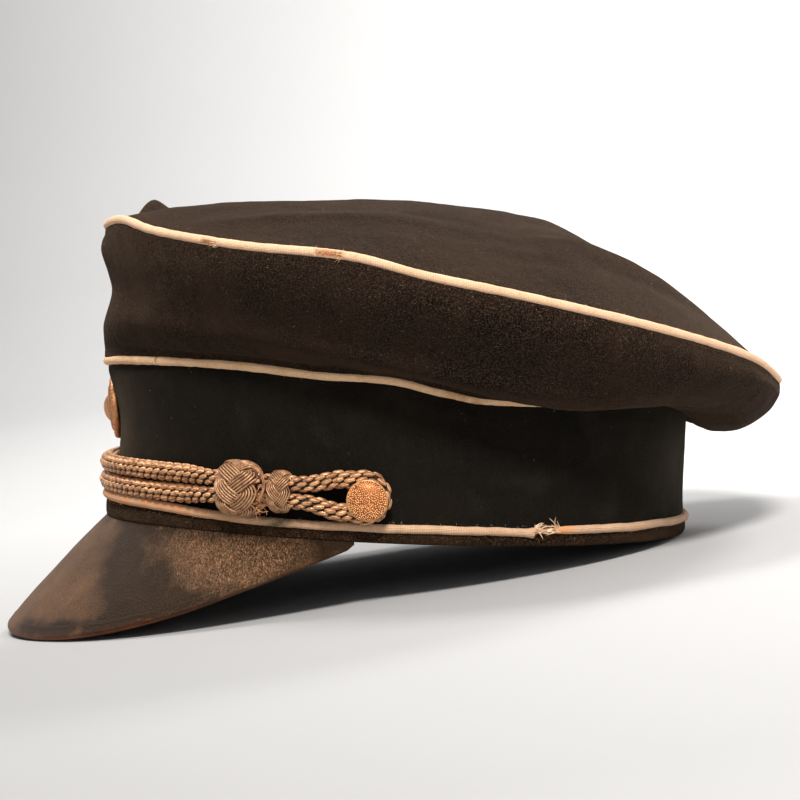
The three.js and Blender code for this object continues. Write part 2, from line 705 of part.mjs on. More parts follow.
const parts = [
  ["crown_top", crownTop(), cloth()],
  ...panelNames.map((name, i) => {
    const to = SIDE_SEAMS[i + 1] ?? FULL_TURN;
    return [name, crownPanel(SIDE_SEAMS[i], to), cloth()];
  }),
  ["crown_piping", piping(anglesRound(), (at) => sideAt(at, "rim"), PIPING_RADIUS, true), cream()],
  ["band_top_piping", piping(anglesPast(BAND_PIPING_GAP), seamAt, PIPING_RADIUS, false), cream()],
  ["band", band(), bandCloth()],
  [
    "band_bottom_piping",
    piping(
      anglesPast(LOW_PIPING_GAP),
      () => [LOW_PIPING.reach, LOW_PIPING.up],
      LOW_PIPING.radius,
      false,
    ),
    cream(),
  ],
  ["bottom_welt", welt(), bandCloth()],
  ["peak", peak(), leather()],
  ["chin_cord", chinCord(), bullion()],
  ["large_knot_left", knot(LARGE_KNOT, 1), bullion()],
  ["small_knot_left", knot(SMALL_KNOT, 1), bullion()],
  ["large_knot_right", knot(LARGE_KNOT, -1), bullion()],
  ["small_knot_right", knot(SMALL_KNOT, -1), bullion()],
  ["button_left", button(1), metal()],
  ["button_right", button(-1), metal()],
  ["front_cockade", cockade(), metal()],
];

// Angle at which the peak's edge and the back of the band stand on one level.
function restTilt(peakGeometry) {
  const back = place(180, WELT_OUTER, 0).y;
  const spot = new THREE.Vector3();
  const points = peakGeometry.getAttribute("position");
  let steepest = 0;
  for (let i = 0; i < points.count; i += 1) {
    spot.fromBufferAttribute(points, i);
    steepest = Math.max(steepest, Math.atan2(-spot.z, back - spot.y));
  }
  return steepest;
}

const peakGeometry = parts.find(([name]) => name === "peak")[1];
const tip = new THREE.Matrix4().makeRotationX(-restTilt(peakGeometry));
const whole = new THREE.Box3();
for (const [, geometry] of parts) {
  geometry.applyMatrix4(tip);
  geometry.computeBoundingBox();
  whole.union(geometry.boundingBox);
}
const middle = whole.getCenter(new THREE.Vector3());
const toOrigin = new THREE.Vector3(-middle.x, -middle.y, -whole.min.z);

const group = new THREE.Group();
group.name = "crusher_cap";
for (const [name, geometry, material] of parts) {
  geometry.translate(toOrigin.x, toOrigin.y, toOrigin.z);
  const mesh = new THREE.Mesh(geometry, material);
  mesh.name = name;
  group.add(mesh);
}

export default group;
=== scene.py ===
"""A peaked cap with a crushed crown. Its cloth, leather, bullion and metal are built round the
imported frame. Sizes are millimetres in the cap's own frame, in which the band stands level: the
peak points to -Y, the wearer's left is +X and height 0 is the underside of the band."""
import json
import math
import random

import bmesh
import bpy
import numpy as np
from mathutils import Matrix, Vector, noise


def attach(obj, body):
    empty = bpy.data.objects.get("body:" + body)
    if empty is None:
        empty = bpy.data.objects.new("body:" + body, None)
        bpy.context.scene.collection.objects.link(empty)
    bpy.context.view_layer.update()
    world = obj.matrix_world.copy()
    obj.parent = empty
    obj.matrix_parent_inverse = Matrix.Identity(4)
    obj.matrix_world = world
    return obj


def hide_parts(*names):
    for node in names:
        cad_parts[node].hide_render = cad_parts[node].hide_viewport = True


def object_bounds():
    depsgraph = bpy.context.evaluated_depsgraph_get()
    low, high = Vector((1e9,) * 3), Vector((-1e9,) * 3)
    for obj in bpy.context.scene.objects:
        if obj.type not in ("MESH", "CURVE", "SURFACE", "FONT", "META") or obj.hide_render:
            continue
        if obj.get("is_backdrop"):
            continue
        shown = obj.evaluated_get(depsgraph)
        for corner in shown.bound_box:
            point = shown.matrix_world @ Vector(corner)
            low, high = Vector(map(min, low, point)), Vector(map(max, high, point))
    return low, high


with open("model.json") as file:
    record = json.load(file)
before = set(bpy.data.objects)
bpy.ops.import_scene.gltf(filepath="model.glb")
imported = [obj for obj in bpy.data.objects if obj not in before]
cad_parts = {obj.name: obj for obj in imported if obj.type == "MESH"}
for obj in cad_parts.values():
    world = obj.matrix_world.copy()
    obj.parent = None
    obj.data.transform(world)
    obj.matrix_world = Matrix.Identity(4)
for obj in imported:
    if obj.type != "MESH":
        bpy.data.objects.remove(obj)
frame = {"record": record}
cad_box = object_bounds()

MM = 0.001
FULL_TURN = 360
SAME_PLACE = 1e-7
TINY = 1e-9


def table(names, *rows):
    """Columns of a table by name, one row for each section or fold."""
    return dict(zip(names.split(), np.array(rows, float).T))


# ---------------------------------------------------------------- sizes

OVAL_HALF_LENGTH = 102.5
OVAL_HALF_WIDTH = 84.5

BAND_WALL = 3
BAND_BOTTOM = 7.25
WAIST_SIDES = 1.5
WAIST_FRONT = 3.8
WAIST_LOW = 12
WAIST_HIGH = 23
WAIST_RISE = 12.5

WELT_HALF_WALL = 1.45
WELT_MIDDLE = -1.65
WELT_HALF_HEIGHT = 2.2
WELT_DIP = 1.7
WELT_DIP_ENDS = 58

PIPING_RADIUS = 1.5
LOW_PIPING_REACH = -0.4
LOW_PIPING_UP = 5.5
LOW_PIPING_RADIUS = 1.4
BAND_PIPING_GAP = (36.8, 37.4)
LOW_PIPING_GAP = (116.4, 121.4)

CLOTH = 1.7
SIDE_SEAMS = (0, 92, 180, 268, 360)
TOP_CENTRE = (0, 12.8, 0)
TOP_ROUNDNESS = 2.3

PEAK_LAST = 82.5
PEAK_THICKNESS = 2.2
PEAK_BOW = 0.8
PEAK_INNER_REACH = -0.5

CORD_RADIUS = 2.8
CORD_LOOP_AT = 84.3
CORD_LOOP_UP = 15.1
CORD_LOOP_RADIUS = 6.2
CORD_LOOP_OFF = 4.2
BUTTON_AT = 85
BUTTON_UP = 14.5
BUTTON_RADIUS = 6.8

KNOT_OFF = 6.2
KNOT_UP = 15.7
LARGE_KNOT = {"at": 61, "along": 15.4, "tall": 19.2, "deep": 11.6, "wires": 6, "wire": 0.86, "bights": 7}
SMALL_KNOT = {"at": 69.2, "along": 8.4, "tall": 14.3, "deep": 9.2, "wires": 5, "wire": 0.66, "bights": 7}

COCKADE_UP = 35.8
COCKADE_HALF_WIDTH = 9.5
COCKADE_HALF_HEIGHT = 11
COCKADE_LEAN = 7.5
COCKADE_DEPTH = 1.25


# ---------------------------------------------------------------- tables round the cap
# at: degrees round the oval, 0 at the front, 90 at the wearer's left, 180 at the back.
# reach: outward from the oval. up: height.

BAND_TOP = table(
    "at reach up",
    (0, 1, 52.2),
    (24, 0.4, 54.2),
    (45, -0.4, 55.5),
    (60, -0.6, 55.4),
    (75, -0.6, 53.9),
    (88, -0.6, 53.3),
    (97, -0.6, 50.2),
    (106, -0.6, 47.8),
    (140, -0.8, 47.8),
    (180, -1, 47.6),
    (225, -0.8, 48),
    (258, -0.6, 49.4),
    (275, -0.6, 52.8),
    (300, -0.6, 55),
    (330, 0.2, 54.6),
)

CROWN_SIDE = table(
    "at rim_reach rim_up belly_reach belly_up crease_reach crease_up roll_reach roll_up "
    "tuck_reach tuck_up rise_reach rise_up wrap",
    (0, -2.8, 97, 3.2, 92, -2.6, 76, 1.6, 65, 2.4, 59.5, 2, 56, 55),
    (22, 7.2, 100.2, 8.4, 92, 5, 78, 6, 68, 3.6, 61, 1.8, 58.2, 60),
    (34, 12.3, 101.9, 12.5, 90.5, 8.5, 76.6, 7.7, 67.2, 3.8, 60.8, 1.6, 58.7, 60),
    (45, 16.3, 98.8, 16.6, 89, 11.8, 75, 9.6, 66.5, 4, 60.6, 1.4, 59, 60),
    (65, 23, 95.1, 23.8, 84, 16, 70.5, 13, 64.4, 4.6, 59.2, 1.6, 58.2, 60),
    (82, 26.8, 93.1, 28, 80.5, 18.4, 65.6, 15.4, 60.2, 5, 57.2, 2, 56.4, 55),
    (93, 28.7, 88, 30.2, 77, 20, 62, 17, 56.4, 5.4, 54.4, 2.4, 54.2, 50),
    (105, 30.9, 83.5, 32.2, 73, 23, 58, 18.6, 51.6, 6, 49.6, 2.8, 49.6, 15),
    (120, 33.5, 77.3, 34.8, 67, 26.4, 54.2, 19.4, 47.8, 6.2, 46, 2.5, 47.2, 0),
    (137, 34.5, 69.9, 35.8, 61.4, 29, 52.4, 20, 48.2, 6, 46.6, 2, 46.9, 0),
    (151, 33.2, 63.7, 34.8, 57, 28.8, 50, 19.4, 46.2, 5.4, 45.2, 1.6, 45.9, 0),
    (165, 30.9, 56.6, 31.6, 51.8, 28.2, 45.4, 18.4, 38.6, 5, 38.6, 1.5, 42.2, 0),
    (180, 28.9, 54.4, 29.8, 50.2, 27.2, 44.4, 17.2, 36.6, 4.6, 36.4, 1.4, 40.4, 0),
    (200, 31.4, 58.2, 32.4, 53.4, 28, 45.4, 18.6, 38.4, 5, 38.2, 1.6, 41.8, 0),
    (225, 34, 68.6, 35, 61, 27.6, 50.2, 19.4, 44, 6, 43, 2, 45.2, 0),
    (245, 32, 79, 33, 69.6, 24.4, 56.6, 18.4, 49.4, 6, 47.2, 2.6, 48.2, 5),
    (265, 28.4, 89, 29.6, 77.8, 20, 63, 16, 57, 5.4, 53.6, 2.4, 53.4, 45),
    (285, 24.8, 96.4, 25.4, 85, 17, 70.6, 12.8, 64, 4.6, 58.8, 1.8, 57.4, 60),
    (305, 19.4, 100.2, 19.4, 91, 13.2, 76.6, 10.4, 68, 4.2, 61, 1.5, 59, 60),
    (326, 11.4, 103.6, 12, 94.6, 8.8, 81, 7.4, 69, 4, 61.4, 1.8, 58.8, 60),
    (343, 3, 99.2, 5.6, 92, 1.6, 78, 4.2, 67, 3.4, 60.4, 2.2, 57.4, 58),
)

CREST = table(
    "y up",
    (-108, 97.5),
    (-100, 103.4),
    (-86, 106.6),
    (-60, 110),
    (-18, 112),
    (10, 112.1),
    (38, 109.3),
    (53, 106.2),
    (67, 100),
    (96, 85.2),
    (125, 67),
    (136, 54),
)

FOLDS = table(
    "x y turn long wide lift",
    (70, -38, 96, 46, 9, 1.6),
    (46, 84, 122, 38, 8, 3),
    (22, 62, 126, 34, 9, -2.4),
    (-40, -62, 70, 34, 12, -3),
    (-58, 40, 80, 40, 12, 2.2),
    (-30, 92, 60, 26, 9, -2.2),
)

PEAK_EDGE = table(
    "at ahead aside drop",
    (0, 34.4, 0, 41.8),
    (15, 33.4, 3.6, 41.8),
    (30, 30.4, 6, 40.2),
    (45, 26.8, 8.2, 35.2),
    (60, 20.4, 7.4, 26),
    (74, 10, 3.6, 12),
    (82.5, 2.6, 0.4, 2.4),
)

CORD_RUN = table(
    "at upper lower off radius",
    (0, 17.1, 10.8, 3.15, 2.95),
    (20, 17.6, 11, 3.15, 2.95),
    (36, 18.3, 11.5, 3.15, 2.95),
    (48, 18.7, 12, 3.6, 2.95),
    (54.5, 18.6, 12.8, 6.2, 2.5),
    (74, 18.6, 12.8, 6.2, 2.5),
    (77, 19.6, 11.3, 5, 2.7),
    (80, 20.8, 9.6, 4.2, 2.8),
)

# Finer creases on the top, which the wool shows where it has been folded flat.
CREASES = table(
    "x y turn long wide lift",
    (72, -30, 92, 34, 3.2, 0.55),
    (60, 6, 84, 30, 4.5, -0.5),
    (52, 66, 118, 26, 3.4, 0.9),
    (36, 78, 124, 30, 3.6, -0.8),
    (64, 74, 126, 24, 3.2, -0.6),
    (26, 96, 128, 22, 3.4, 0.8),
    (80, 40, 104, 26, 4, 0.5),
    (-66, -20, 98, 34, 4, 0.7),
    (-48, 70, 60, 28, 3.6, 0.8),
    (-30, -84, 20, 18, 4, -0.7),
    (30, -78, 160, 16, 4, 0.4),
    (-10, 40, 20, 40, 5, 0.5),
    (-25, -94, 169, 12, 7, 9),
)

# Creases in the leather of the peak: at and share place them, share being 0 at the band and 1
# at the edge; long and wide are millimetres, turn is degrees from the line round the peak.
PEAK_CREASES = table(
    "at share turn long wide lift",
    (52.5, 0.15, 82, 3.6, 0.5, -0.4),
    (53.5, 0.2, 96, 3.2, 0.45, 0.25),
    (51, 0.28, 66, 2.6, 0.4, -0.25),
    (58.5, 0.34, 86, 2.8, 0.45, -0.35),
    (63, 0.3, 60, 3.2, 0.4, -0.2),
    (47, 0.46, 48, 4.0, 0.5, 0.15),
    (40, 0.62, 20, 5.0, 0.7, 0.1),
    (50.5, 0.97, 88, 1.3, 0.35, -0.4),
    (53.5, 0.95, 70, 1.2, 0.3, -0.35),
    (55.5, 0.96, 60, 1.0, 0.3, -0.3),
    (-30, 0.5, 66, 4.0, 0.5, -0.15),
    (-44, 0.3, 70, 3.4, 0.5, -0.15),
    (-14, 0.8, 30, 5.0, 0.7, 0.1),
)

# Torn places in the crown's piping: middle and half length in degrees, how far the cover has
# come off, and where round the piping it opens: 0 outward, 90 upward.
TEARS = table(
    "at half open facing wide",
    (58.6, 1.5, 0.9, -22, 34),
    (78.9, 2.1, 1, 2, 46),
    (214, 1.2, 0.8, 10, 40),
    (301, 1.4, 0.8, -10, 36),
)

# Course of the lower piping: degrees round, and how far it wanders up or down.
LOW_PIPING_SAG = (
    (0, 20, 36, 46, 56, 63, 76, 90, 104, 112, 116, 122, 130, 150, 175, 360),
    (0.5, 1.0, 1.2, 0.7, 0.1, -0.4, -0.5, -0.5, -0.4, -0.8, -1, -0.3, -0.1, 0.3, 0.2, 0.2),
)


# ---------------------------------------------------------------- reading the tables


def smooth_through(keys, values, places):
    """Smooth values at places, with the rows on either side setting the slopes."""
    last = len(keys) - 1
    here = np.clip(np.searchsorted(keys, places, side="right") - 1, 0, last - 1)
    before = np.maximum(here - 1, 0)
    after = np.minimum(here + 2, last)
    span = keys[here + 1] - keys[here]
    share = (places - keys[here]) / span
    slope_from = (values[here + 1] - values[before]) / (keys[here + 1] - keys[before]) * span
    slope_to = (values[after] - values[here]) / (keys[after] - keys[here]) * span
    squared = share**2
    cubed = share**3
    return (
        (2 * cubed - 3 * squared + 1) * values[here]
        + (cubed - 2 * squared + share) * slope_from
        + (3 * squared - 2 * cubed) * values[here + 1]
        + (cubed - squared) * slope_to
    )


def read_around(rows, name, at):
    """One column of a table whose rows go once round the cap."""
    keys = np.concatenate([rows["at"] + lap * FULL_TURN for lap in (-1, 0, 1)])
    values = np.tile(rows[name], 3)
    return smooth_through(keys, values, np.mod(at, FULL_TURN))


def pair_around(rows, name, at):
    return np.stack([read_around(rows, f"{name}_reach", at), read_around(rows, f"{name}_up", at)], -1)


def ease(low, high, value):
    """Rises smoothly from 0 at low to 1 at high."""
    share = np.clip((value - low) / (high - low), 0, 1)
    return share * share * (3 - 2 * share)


def bump(distance, wide):
    return np.exp(-((distance / wide) ** 2))


def angle_gap(at, middle):
    """Degrees from middle to at, the short way round."""
    return np.mod(at - middle + 180, FULL_TURN) - 180


# ---------------------------------------------------------------- places on the cap

rest = next(mount for mount in frame["record"]["mounts"] if mount["name"] == "rim_bottom")
rim_axis = Vector(rest["axis"])
TIP = Matrix.Rotation(math.atan2(rim_axis.y, -rim_axis.z), 3, "X")
BACK_RIM = Vector((0, 100.85, 0))
SHIFT = Vector(rest["pos_m"]) / MM - TIP @ BACK_RIM


def to_row(points):
    """The cap's own millimetres to metres in the frame, where the cap rests on its peak."""
    return (np.asarray(points, float) @ np.array(TIP).T + np.array(SHIFT)) * MM


def outward(at):
    angle = np.radians(at)
    x = np.sin(angle) / OVAL_HALF_WIDTH
    y = -np.cos(angle) / OVAL_HALF_LENGTH
    size = np.hypot(x, y)
    return np.stack([x / size, y / size, np.zeros_like(size)], -1)


def place(at, reach, up):
    """Points at angles round the oval, moved outward by reach and raised to up."""
    at, reach, up = np.broadcast_arrays(np.asarray(at, float), reach, up)
    angle = np.radians(at)
    oval = np.stack([OVAL_HALF_WIDTH * np.sin(angle), -OVAL_HALF_LENGTH * np.cos(angle), up], -1)
    return oval + outward(at) * reach[..., None]


def loops_at(at, pairs):
    """Loops of (reach, up) pairs, one for each angle, as points."""
    return place(np.asarray(at, float)[:, None], pairs[..., 0], pairs[..., 1])


def degrees_per_mm(at, reach):
    step = 0.5
    return 2 * step / np.linalg.norm(place(at + step, reach, 0) - place(at - step, reach, 0))


def waist_at(at):
    frontness = np.maximum(0, np.cos(np.radians(at))) ** 2
    return WAIST_SIDES + (WAIST_FRONT - WAIST_SIDES) * frontness


def waist_high_at(at):
    """Height up to which the band is pressed in, highest behind the cockade."""
    return WAIST_HIGH + WAIST_RISE * np.maximum(0, np.cos(np.radians(at))) ** 8


def welt_dip(at):
    """How far the welt's lower edge, and the peak sewn under it, dip at the front."""
    nearness = np.maximum(0, 1 - (angle_gap(at, 0) / WELT_DIP_ENDS) ** 2)
    return WELT_DIP * nearness * nearness


def seam_at(at):
    return np.stack([read_around(BAND_TOP, "reach", at), read_around(BAND_TOP, "up", at)], -1)


def degrees_between(start, end, step):
    count = max(2, round((end - start) / step) + 1)
    return np.linspace(start, end, count)


def degrees_round(step):
    return degrees_between(0, FULL_TURN, step)[:-1]


# ---------------------------------------------------------------- lines and bodies


def rounded(points, counts, closed=False):
    """Smooth line through points (..., n, d); counts says how many steps each stretch gets."""
    if closed:
        padded = np.concatenate([points[..., -1:, :], points, points[..., :2, :]], -2)
    else:
        before = 2 * points[..., :1, :] - points[..., 1:2, :]
        after = 2 * points[..., -1:, :] - points[..., -2:-1, :]
        padded = np.concatenate([before, points, after], -2)
    line = []
    for i, count in enumerate(counts):
        p0, p1, p2, p3 = (padded[..., i + k, :] for k in range(4))
        d0, d1, d2 = (
            np.maximum(np.sqrt(np.linalg.norm(b - a, axis=-1, keepdims=True)), 1e-4)
            for a, b in ((p0, p1), (p1, p2), (p2, p3))
        )
        leave = ((p1 - p0) / d0 - (p2 - p0) / (d0 + d1) + (p2 - p1) / d1) * d1
        arrive = ((p2 - p1) / d1 - (p3 - p1) / (d1 + d2) + (p3 - p2) / d2) * d1
        for t in np.arange(count) / count:
            line.append(
                (2 * t**3 - 3 * t**2 + 1) * p1
                + (t**3 - 2 * t**2 + t) * leave
                + (3 * t**2 - 2 * t**3) * p2
                + (t**3 - t**2) * arrive
            )
    if not closed:
        line.append(points[..., -1, :])
    return np.stack(line, -2)


def evenly(loop, count):
    """Points at even distances round a closed line."""
    whole = np.concatenate([loop, loop[:1]])
    run = np.concatenate([[0], np.cumsum(np.linalg.norm(np.diff(whole, axis=0), axis=1))])
    stops = np.linspace(0, run[-1], count + 1)[:-1]
    return np.stack([np.interp(stops, run, whole[:, k]) for k in range(whole.shape[1])], -1)


def corner_grid(count, size, wraps):
    """Corner numbers of the faces between rings, each ring a closed loop."""
    i, j = np.meshgrid(np.arange(count if wraps else count - 1), np.arange(size), indexing="ij")
    ahead = (i + 1) % count
    beside = (j + 1) % size
    return np.stack(
        [i * size + j, i * size + beside, ahead * size + beside, ahead * size + j], -1
    ).reshape(-1, 4)


def turns_inward(rings, wraps):
    """True if the faces between the rings look into the body."""
    points = rings.reshape(-1, 3)
    a, b, c, d = points[corner_grid(*rings.shape[:2], wraps)].transpose(1, 0, 2)
    volume = np.einsum("ij,ij->i", a, np.cross(b, c) + np.cross(c, d)).sum()
    return volume < 0


def ring_normals(rings, wraps):
    """Outward direction at each point of the rings."""
    if wraps:
        onward = np.roll(rings, -1, 0) - np.roll(rings, 1, 0)
    else:
        onward = np.gradient(rings, axis=0)
    around = np.roll(rings, -1, 1) - np.roll(rings, 1, 1)
    normal = np.cross(around, onward)
    normal /= np.maximum(np.linalg.norm(normal, axis=-1, keepdims=True), TINY)
    return -normal if turns_inward(rings, wraps) else normal


def lumps(points, spacing, seed, octaves):
    """Soft random heights between about -1 and 1, with hills about spacing apart."""
    shift = Vector((17.3 * seed, 5.1 * seed, 9.7 * seed))
    flat = (points / spacing).reshape(-1, 3)
    heights = [noise.fractal(Vector(spot) + shift, 1.0, 2.0, octaves) for spot in flat]
    return np.array(heights).reshape(points.shape[:-1])


def keep_values(mesh, name, values, kind="FLOAT"):
    """Stores a value at each point of a mesh, for a surface or a growth tree to read."""
    field = "vector" if kind == "FLOAT_VECTOR" else "value"
    values = np.asarray(values)
    if kind != "BOOLEAN":
        values = values.astype(np.float32)
    mesh.attributes.new(name, kind, "POINT").data.foreach_set(field, values.reshape(-1))


def shown(name, mesh):
    piece = bpy.data.objects.new(name, mesh)
    bpy.context.scene.collection.objects.link(piece)
    return piece


def body(name, rings, wraps, surface, marks=None, merge=False):
    """Closed body through rings of points in the cap's frame, with distances as its UV map.
    marks are named values for each point, which the surface reads."""
    count, size = rings.shape[:2]
    faces = corner_grid(count, size, wraps)
    steps = len(faces) // size
    onward = np.linalg.norm(np.roll(rings, -1, 0) - rings, axis=-1).mean(1)[:steps]
    around = np.linalg.norm(np.roll(rings, -1, 1) - rings, axis=-1).mean(0)
    u = np.concatenate([[0], np.cumsum(onward)]) * MM
    v = np.concatenate([[0], np.cumsum(around)]) * MM
    i, j = np.meshgrid(np.arange(steps), np.arange(size), indexing="ij")
    spots = [(u[i], v[j]), (u[i], v[j + 1]), (u[i + 1], v[j + 1]), (u[i + 1], v[j])]
    uv = np.stack([np.stack(spot, -1) for spot in spots], -2).reshape(-1, 4, 2)
    if not wraps:
        near = np.arange(size // 2 - 1)
        far = size - 1 - near
        last = (count - 1) * size
        caps = [
            np.stack([far, far - 1, near + 1, near], -1),
            np.stack([last + near, last + near + 1, last + far - 1, last + far], -1),
        ]
        faces = np.concatenate([faces, *caps])
        uv = np.concatenate([uv, np.zeros((2 * len(near), 4, 2))])
    if turns_inward(rings, wraps):
        faces = faces[:, ::-1]
        uv = uv[:, ::-1]
    mesh = bpy.data.meshes.new(name)
    mesh.from_pydata(to_row(rings.reshape(-1, 3)).tolist(), [], faces.tolist())
    mesh.uv_layers.new(name="distances").data.foreach_set("uv", uv.reshape(-1))
    for mark, values in (marks or {}).items():
        keep_values(mesh, mark, np.broadcast_to(values, (count, size)))
    mesh.shade_smooth()
    mesh.materials.append(surface)
    if merge:
        reworked(mesh, lambda m: bmesh.ops.remove_doubles(m, verts=m.verts, dist=SAME_PLACE))
    return shown(name, mesh)


def reworked(mesh, change):
    """Applies a change to a mesh through an editable copy."""
    working = bmesh.new()
    working.from_mesh(mesh)
    change(working)
    working.to_mesh(mesh)
    working.free()


def settle(piece, slot, *nodes):
    """Hangs the piece on the root body and hides the nodes it stands for; slot is not used."""
    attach(piece, "root")
    if nodes:
        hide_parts(*nodes)
    return piece


# ---------------------------------------------------------------- nodes


def socket_of(sockets, key):
    """An input or output by its number, or by its name among those in use."""
    if isinstance(key, int):
        return sockets[key]
    return next(socket for socket in sockets if socket.name == key and socket.enabled)


def add(tree, kind, feeds=None, **settings):
    """Adds a node. feeds gives its inputs a value or another node's output."""
    node = tree.nodes.new(kind)
    for name, value in settings.items():
        setattr(node, name, value)
    for key, value in (feeds or {}).items():
        target = socket_of(node.inputs, key)
        if isinstance(value, bpy.types.NodeSocket):
            tree.links.new(value, target)
        else:
            target.default_value = value
    return node


def out(node, key=0):
    return socket_of(node.outputs, key)


def math_node(tree, operation, *values):
    node = add(tree, "ShaderNodeMath", dict(enumerate(values)), operation=operation)
    return out(node)


# ---------------------------------------------------------------- finishes


def tone(red, green, blue):
    """A colour as a painter names it, from 0 to 255, as the shader's light values."""
    shares = [value / 255 for value in (red, green, blue)]
    return [s / 12.92 if s <= 0.04045 else ((s + 0.055) / 1.055) ** 2.4 for s in shares] + [1]


def blended(first, second, share):
    return [a + (b - a) * share for a, b in zip(first, second)]


def new_surface(name, **values):
    surface = bpy.data.materials.new(name)
    surface.use_nodes = True
    shader = surface.node_tree.nodes["Principled BSDF"]
    for socket, value in values.items():
        shader.inputs[socket.replace("_", " ")].default_value = value
    return surface, surface.node_tree, shader


def object_place(tree, stretch=(1, 1, 1)):
    here = add(tree, "ShaderNodeTexCoord")
    return out(add(tree, "ShaderNodeMapping", {"Vector": out(here, "Object"), "Scale": stretch}))


def map_place(tree):
    return out(add(tree, "ShaderNodeUVMap", uv_map="distances"))


def sized(tree, place_socket, spacing):
    """The place counted in steps of a number of millimetres."""
    feeds = {"Vector": place_socket, "Scale": 1 / (spacing * MM)}
    return out(add(tree, "ShaderNodeVectorMath", feeds, operation="SCALE"), "Vector")


def speckle(tree, place_socket, spacing, detail=3.0, roughness=0.5, distortion=0.0):
    """Random pattern whose spots are about spacing millimetres apart."""
    feeds = {
        "Vector": sized(tree, place_socket, spacing),
        "Scale": 1.0,
        "Detail": detail,
        "Roughness": roughness,
        "Distortion": distortion,
    }
    return out(add(tree, "ShaderNodeTexNoise", feeds))


def cells(tree, place_socket, spacing, feature="F1"):
    feeds = {"Vector": sized(tree, place_socket, spacing), "Scale": 1.0}
    return out(add(tree, "ShaderNodeTexVoronoi", feeds, feature=feature), "Distance")


def stripes(tree, place_socket, spacing, direction, distortion=0.0):
    """Even ridges a given number of millimetres apart, along one direction of the place."""
    feeds = {
        "Vector": place_socket,
        "Scale": 2 * math.pi / (20 * spacing * MM),
        "Distortion": distortion,
        "Detail": 1.0,
    }
    return out(add(tree, "ShaderNodeTexWave", feeds, bands_direction=direction), "Fac")


def ramp(tree, factor, *stops):
    """Colours by level: each stop is a level and a colour."""
    node = add(tree, "ShaderNodeValToRGB", {"Fac": factor})
    elements = node.color_ramp.elements
    while len(elements) < len(stops):
        elements.new(0.5)
    for element, (level, colour) in zip(elements, stops):
        element.position = level
        element.color = colour
    return out(node, "Color")


def level(tree, factor, low, high, to_low=0.0, to_high=1.0):
    feeds = {"Value": factor, "From Min": low, "From Max": high, "To Min": to_low, "To Max": to_high}
    return out(add(tree, "ShaderNodeMapRange", feeds), "Result")


def blend(tree, factor, first, second):
    feeds = {"Factor": factor, "A": first, "B": second}
    return out(add(tree, "ShaderNodeMix", feeds, data_type="RGBA"), "Result")


def times(tree, first, second):
    return math_node(tree, "MULTIPLY", first, second)


def patched(tree, under, over, pattern, low, high, amount):
    """Lays one colour over another where a pattern rises from low to high, up to an amount."""
    return blend(tree, level(tree, pattern, low, high, 0, amount), under, over)


def mark(tree, name):
    return out(add(tree, "ShaderNodeAttribute", attribute_name=name), "Fac")


def relief(tree, shader, *layers):
    """Bumps in the surface: each layer is a pattern and its height in millimetres."""
    normal = None
    for pattern, height in layers:
        feeds = {"Height": pattern, "Distance": height * MM, "Strength": 1.0}
        if normal is not None:
            feeds["Normal"] = normal
        normal = out(add(tree, "ShaderNodeBump", feeds))
    tree.links.new(normal, shader.inputs["Normal"])


def feed(tree, shader, **sockets):
    for name, value in sockets.items():
        tree.links.new(value, shader.inputs[name.replace("_", " ")])


def wool(name, deep, usual, worn, dust, sheen):
    """Fulled wool with a short nap: darker in its hollows, browned and dusty where it is rubbed."""
    surface, tree, shader = new_surface(
        name, Roughness=0.95, Sheen_Weight=sheen, Sheen_Roughness=0.3, Sheen_Tint=tone(226, 186, 150),
        Specular_IOR_Level=0.05,
    )
    here = object_place(tree)
    nap = speckle(tree, here, 0.55, 4, 0.7)
    grain = cells(tree, here, 0.6)
    fibre = speckle(tree, object_place(tree, (1, 0.3, 1)), 0.34, 2, 0.6, 0.9)
    clouds = speckle(tree, here, 26, 3, 0.6)
    patches = speckle(tree, here, 7, 2, 0.5)
    ground = ramp(tree, nap, (0.42, deep), (0.49, usual), (0.6, worn))
    aged = patched(tree, ground, blended(usual, worn, 0.7), clouds, 0.42, 0.66, 0.5)
    rubbed = times(tree, mark(tree, "rub"), level(tree, nap, 0.4, 0.62, 0.1, 1))
    edge = blend(tree, rubbed, aged, worn)
    motes = level(tree, fibre, 0.64, 0.74, 0, 0.6)
    where = math_node(tree, "ADD", level(tree, patches, 0.4, 0.7, 0.12, 0.7), mark(tree, "rub"))
    dusty = times(tree, motes, where)
    feed(tree, shader, Base_Color=blend(tree, dusty, edge, dust))
    relief(tree, shader, (patches, 0.4), (grain, 0.14), (fibre, 0.18), (nap, 0.5))
    return surface


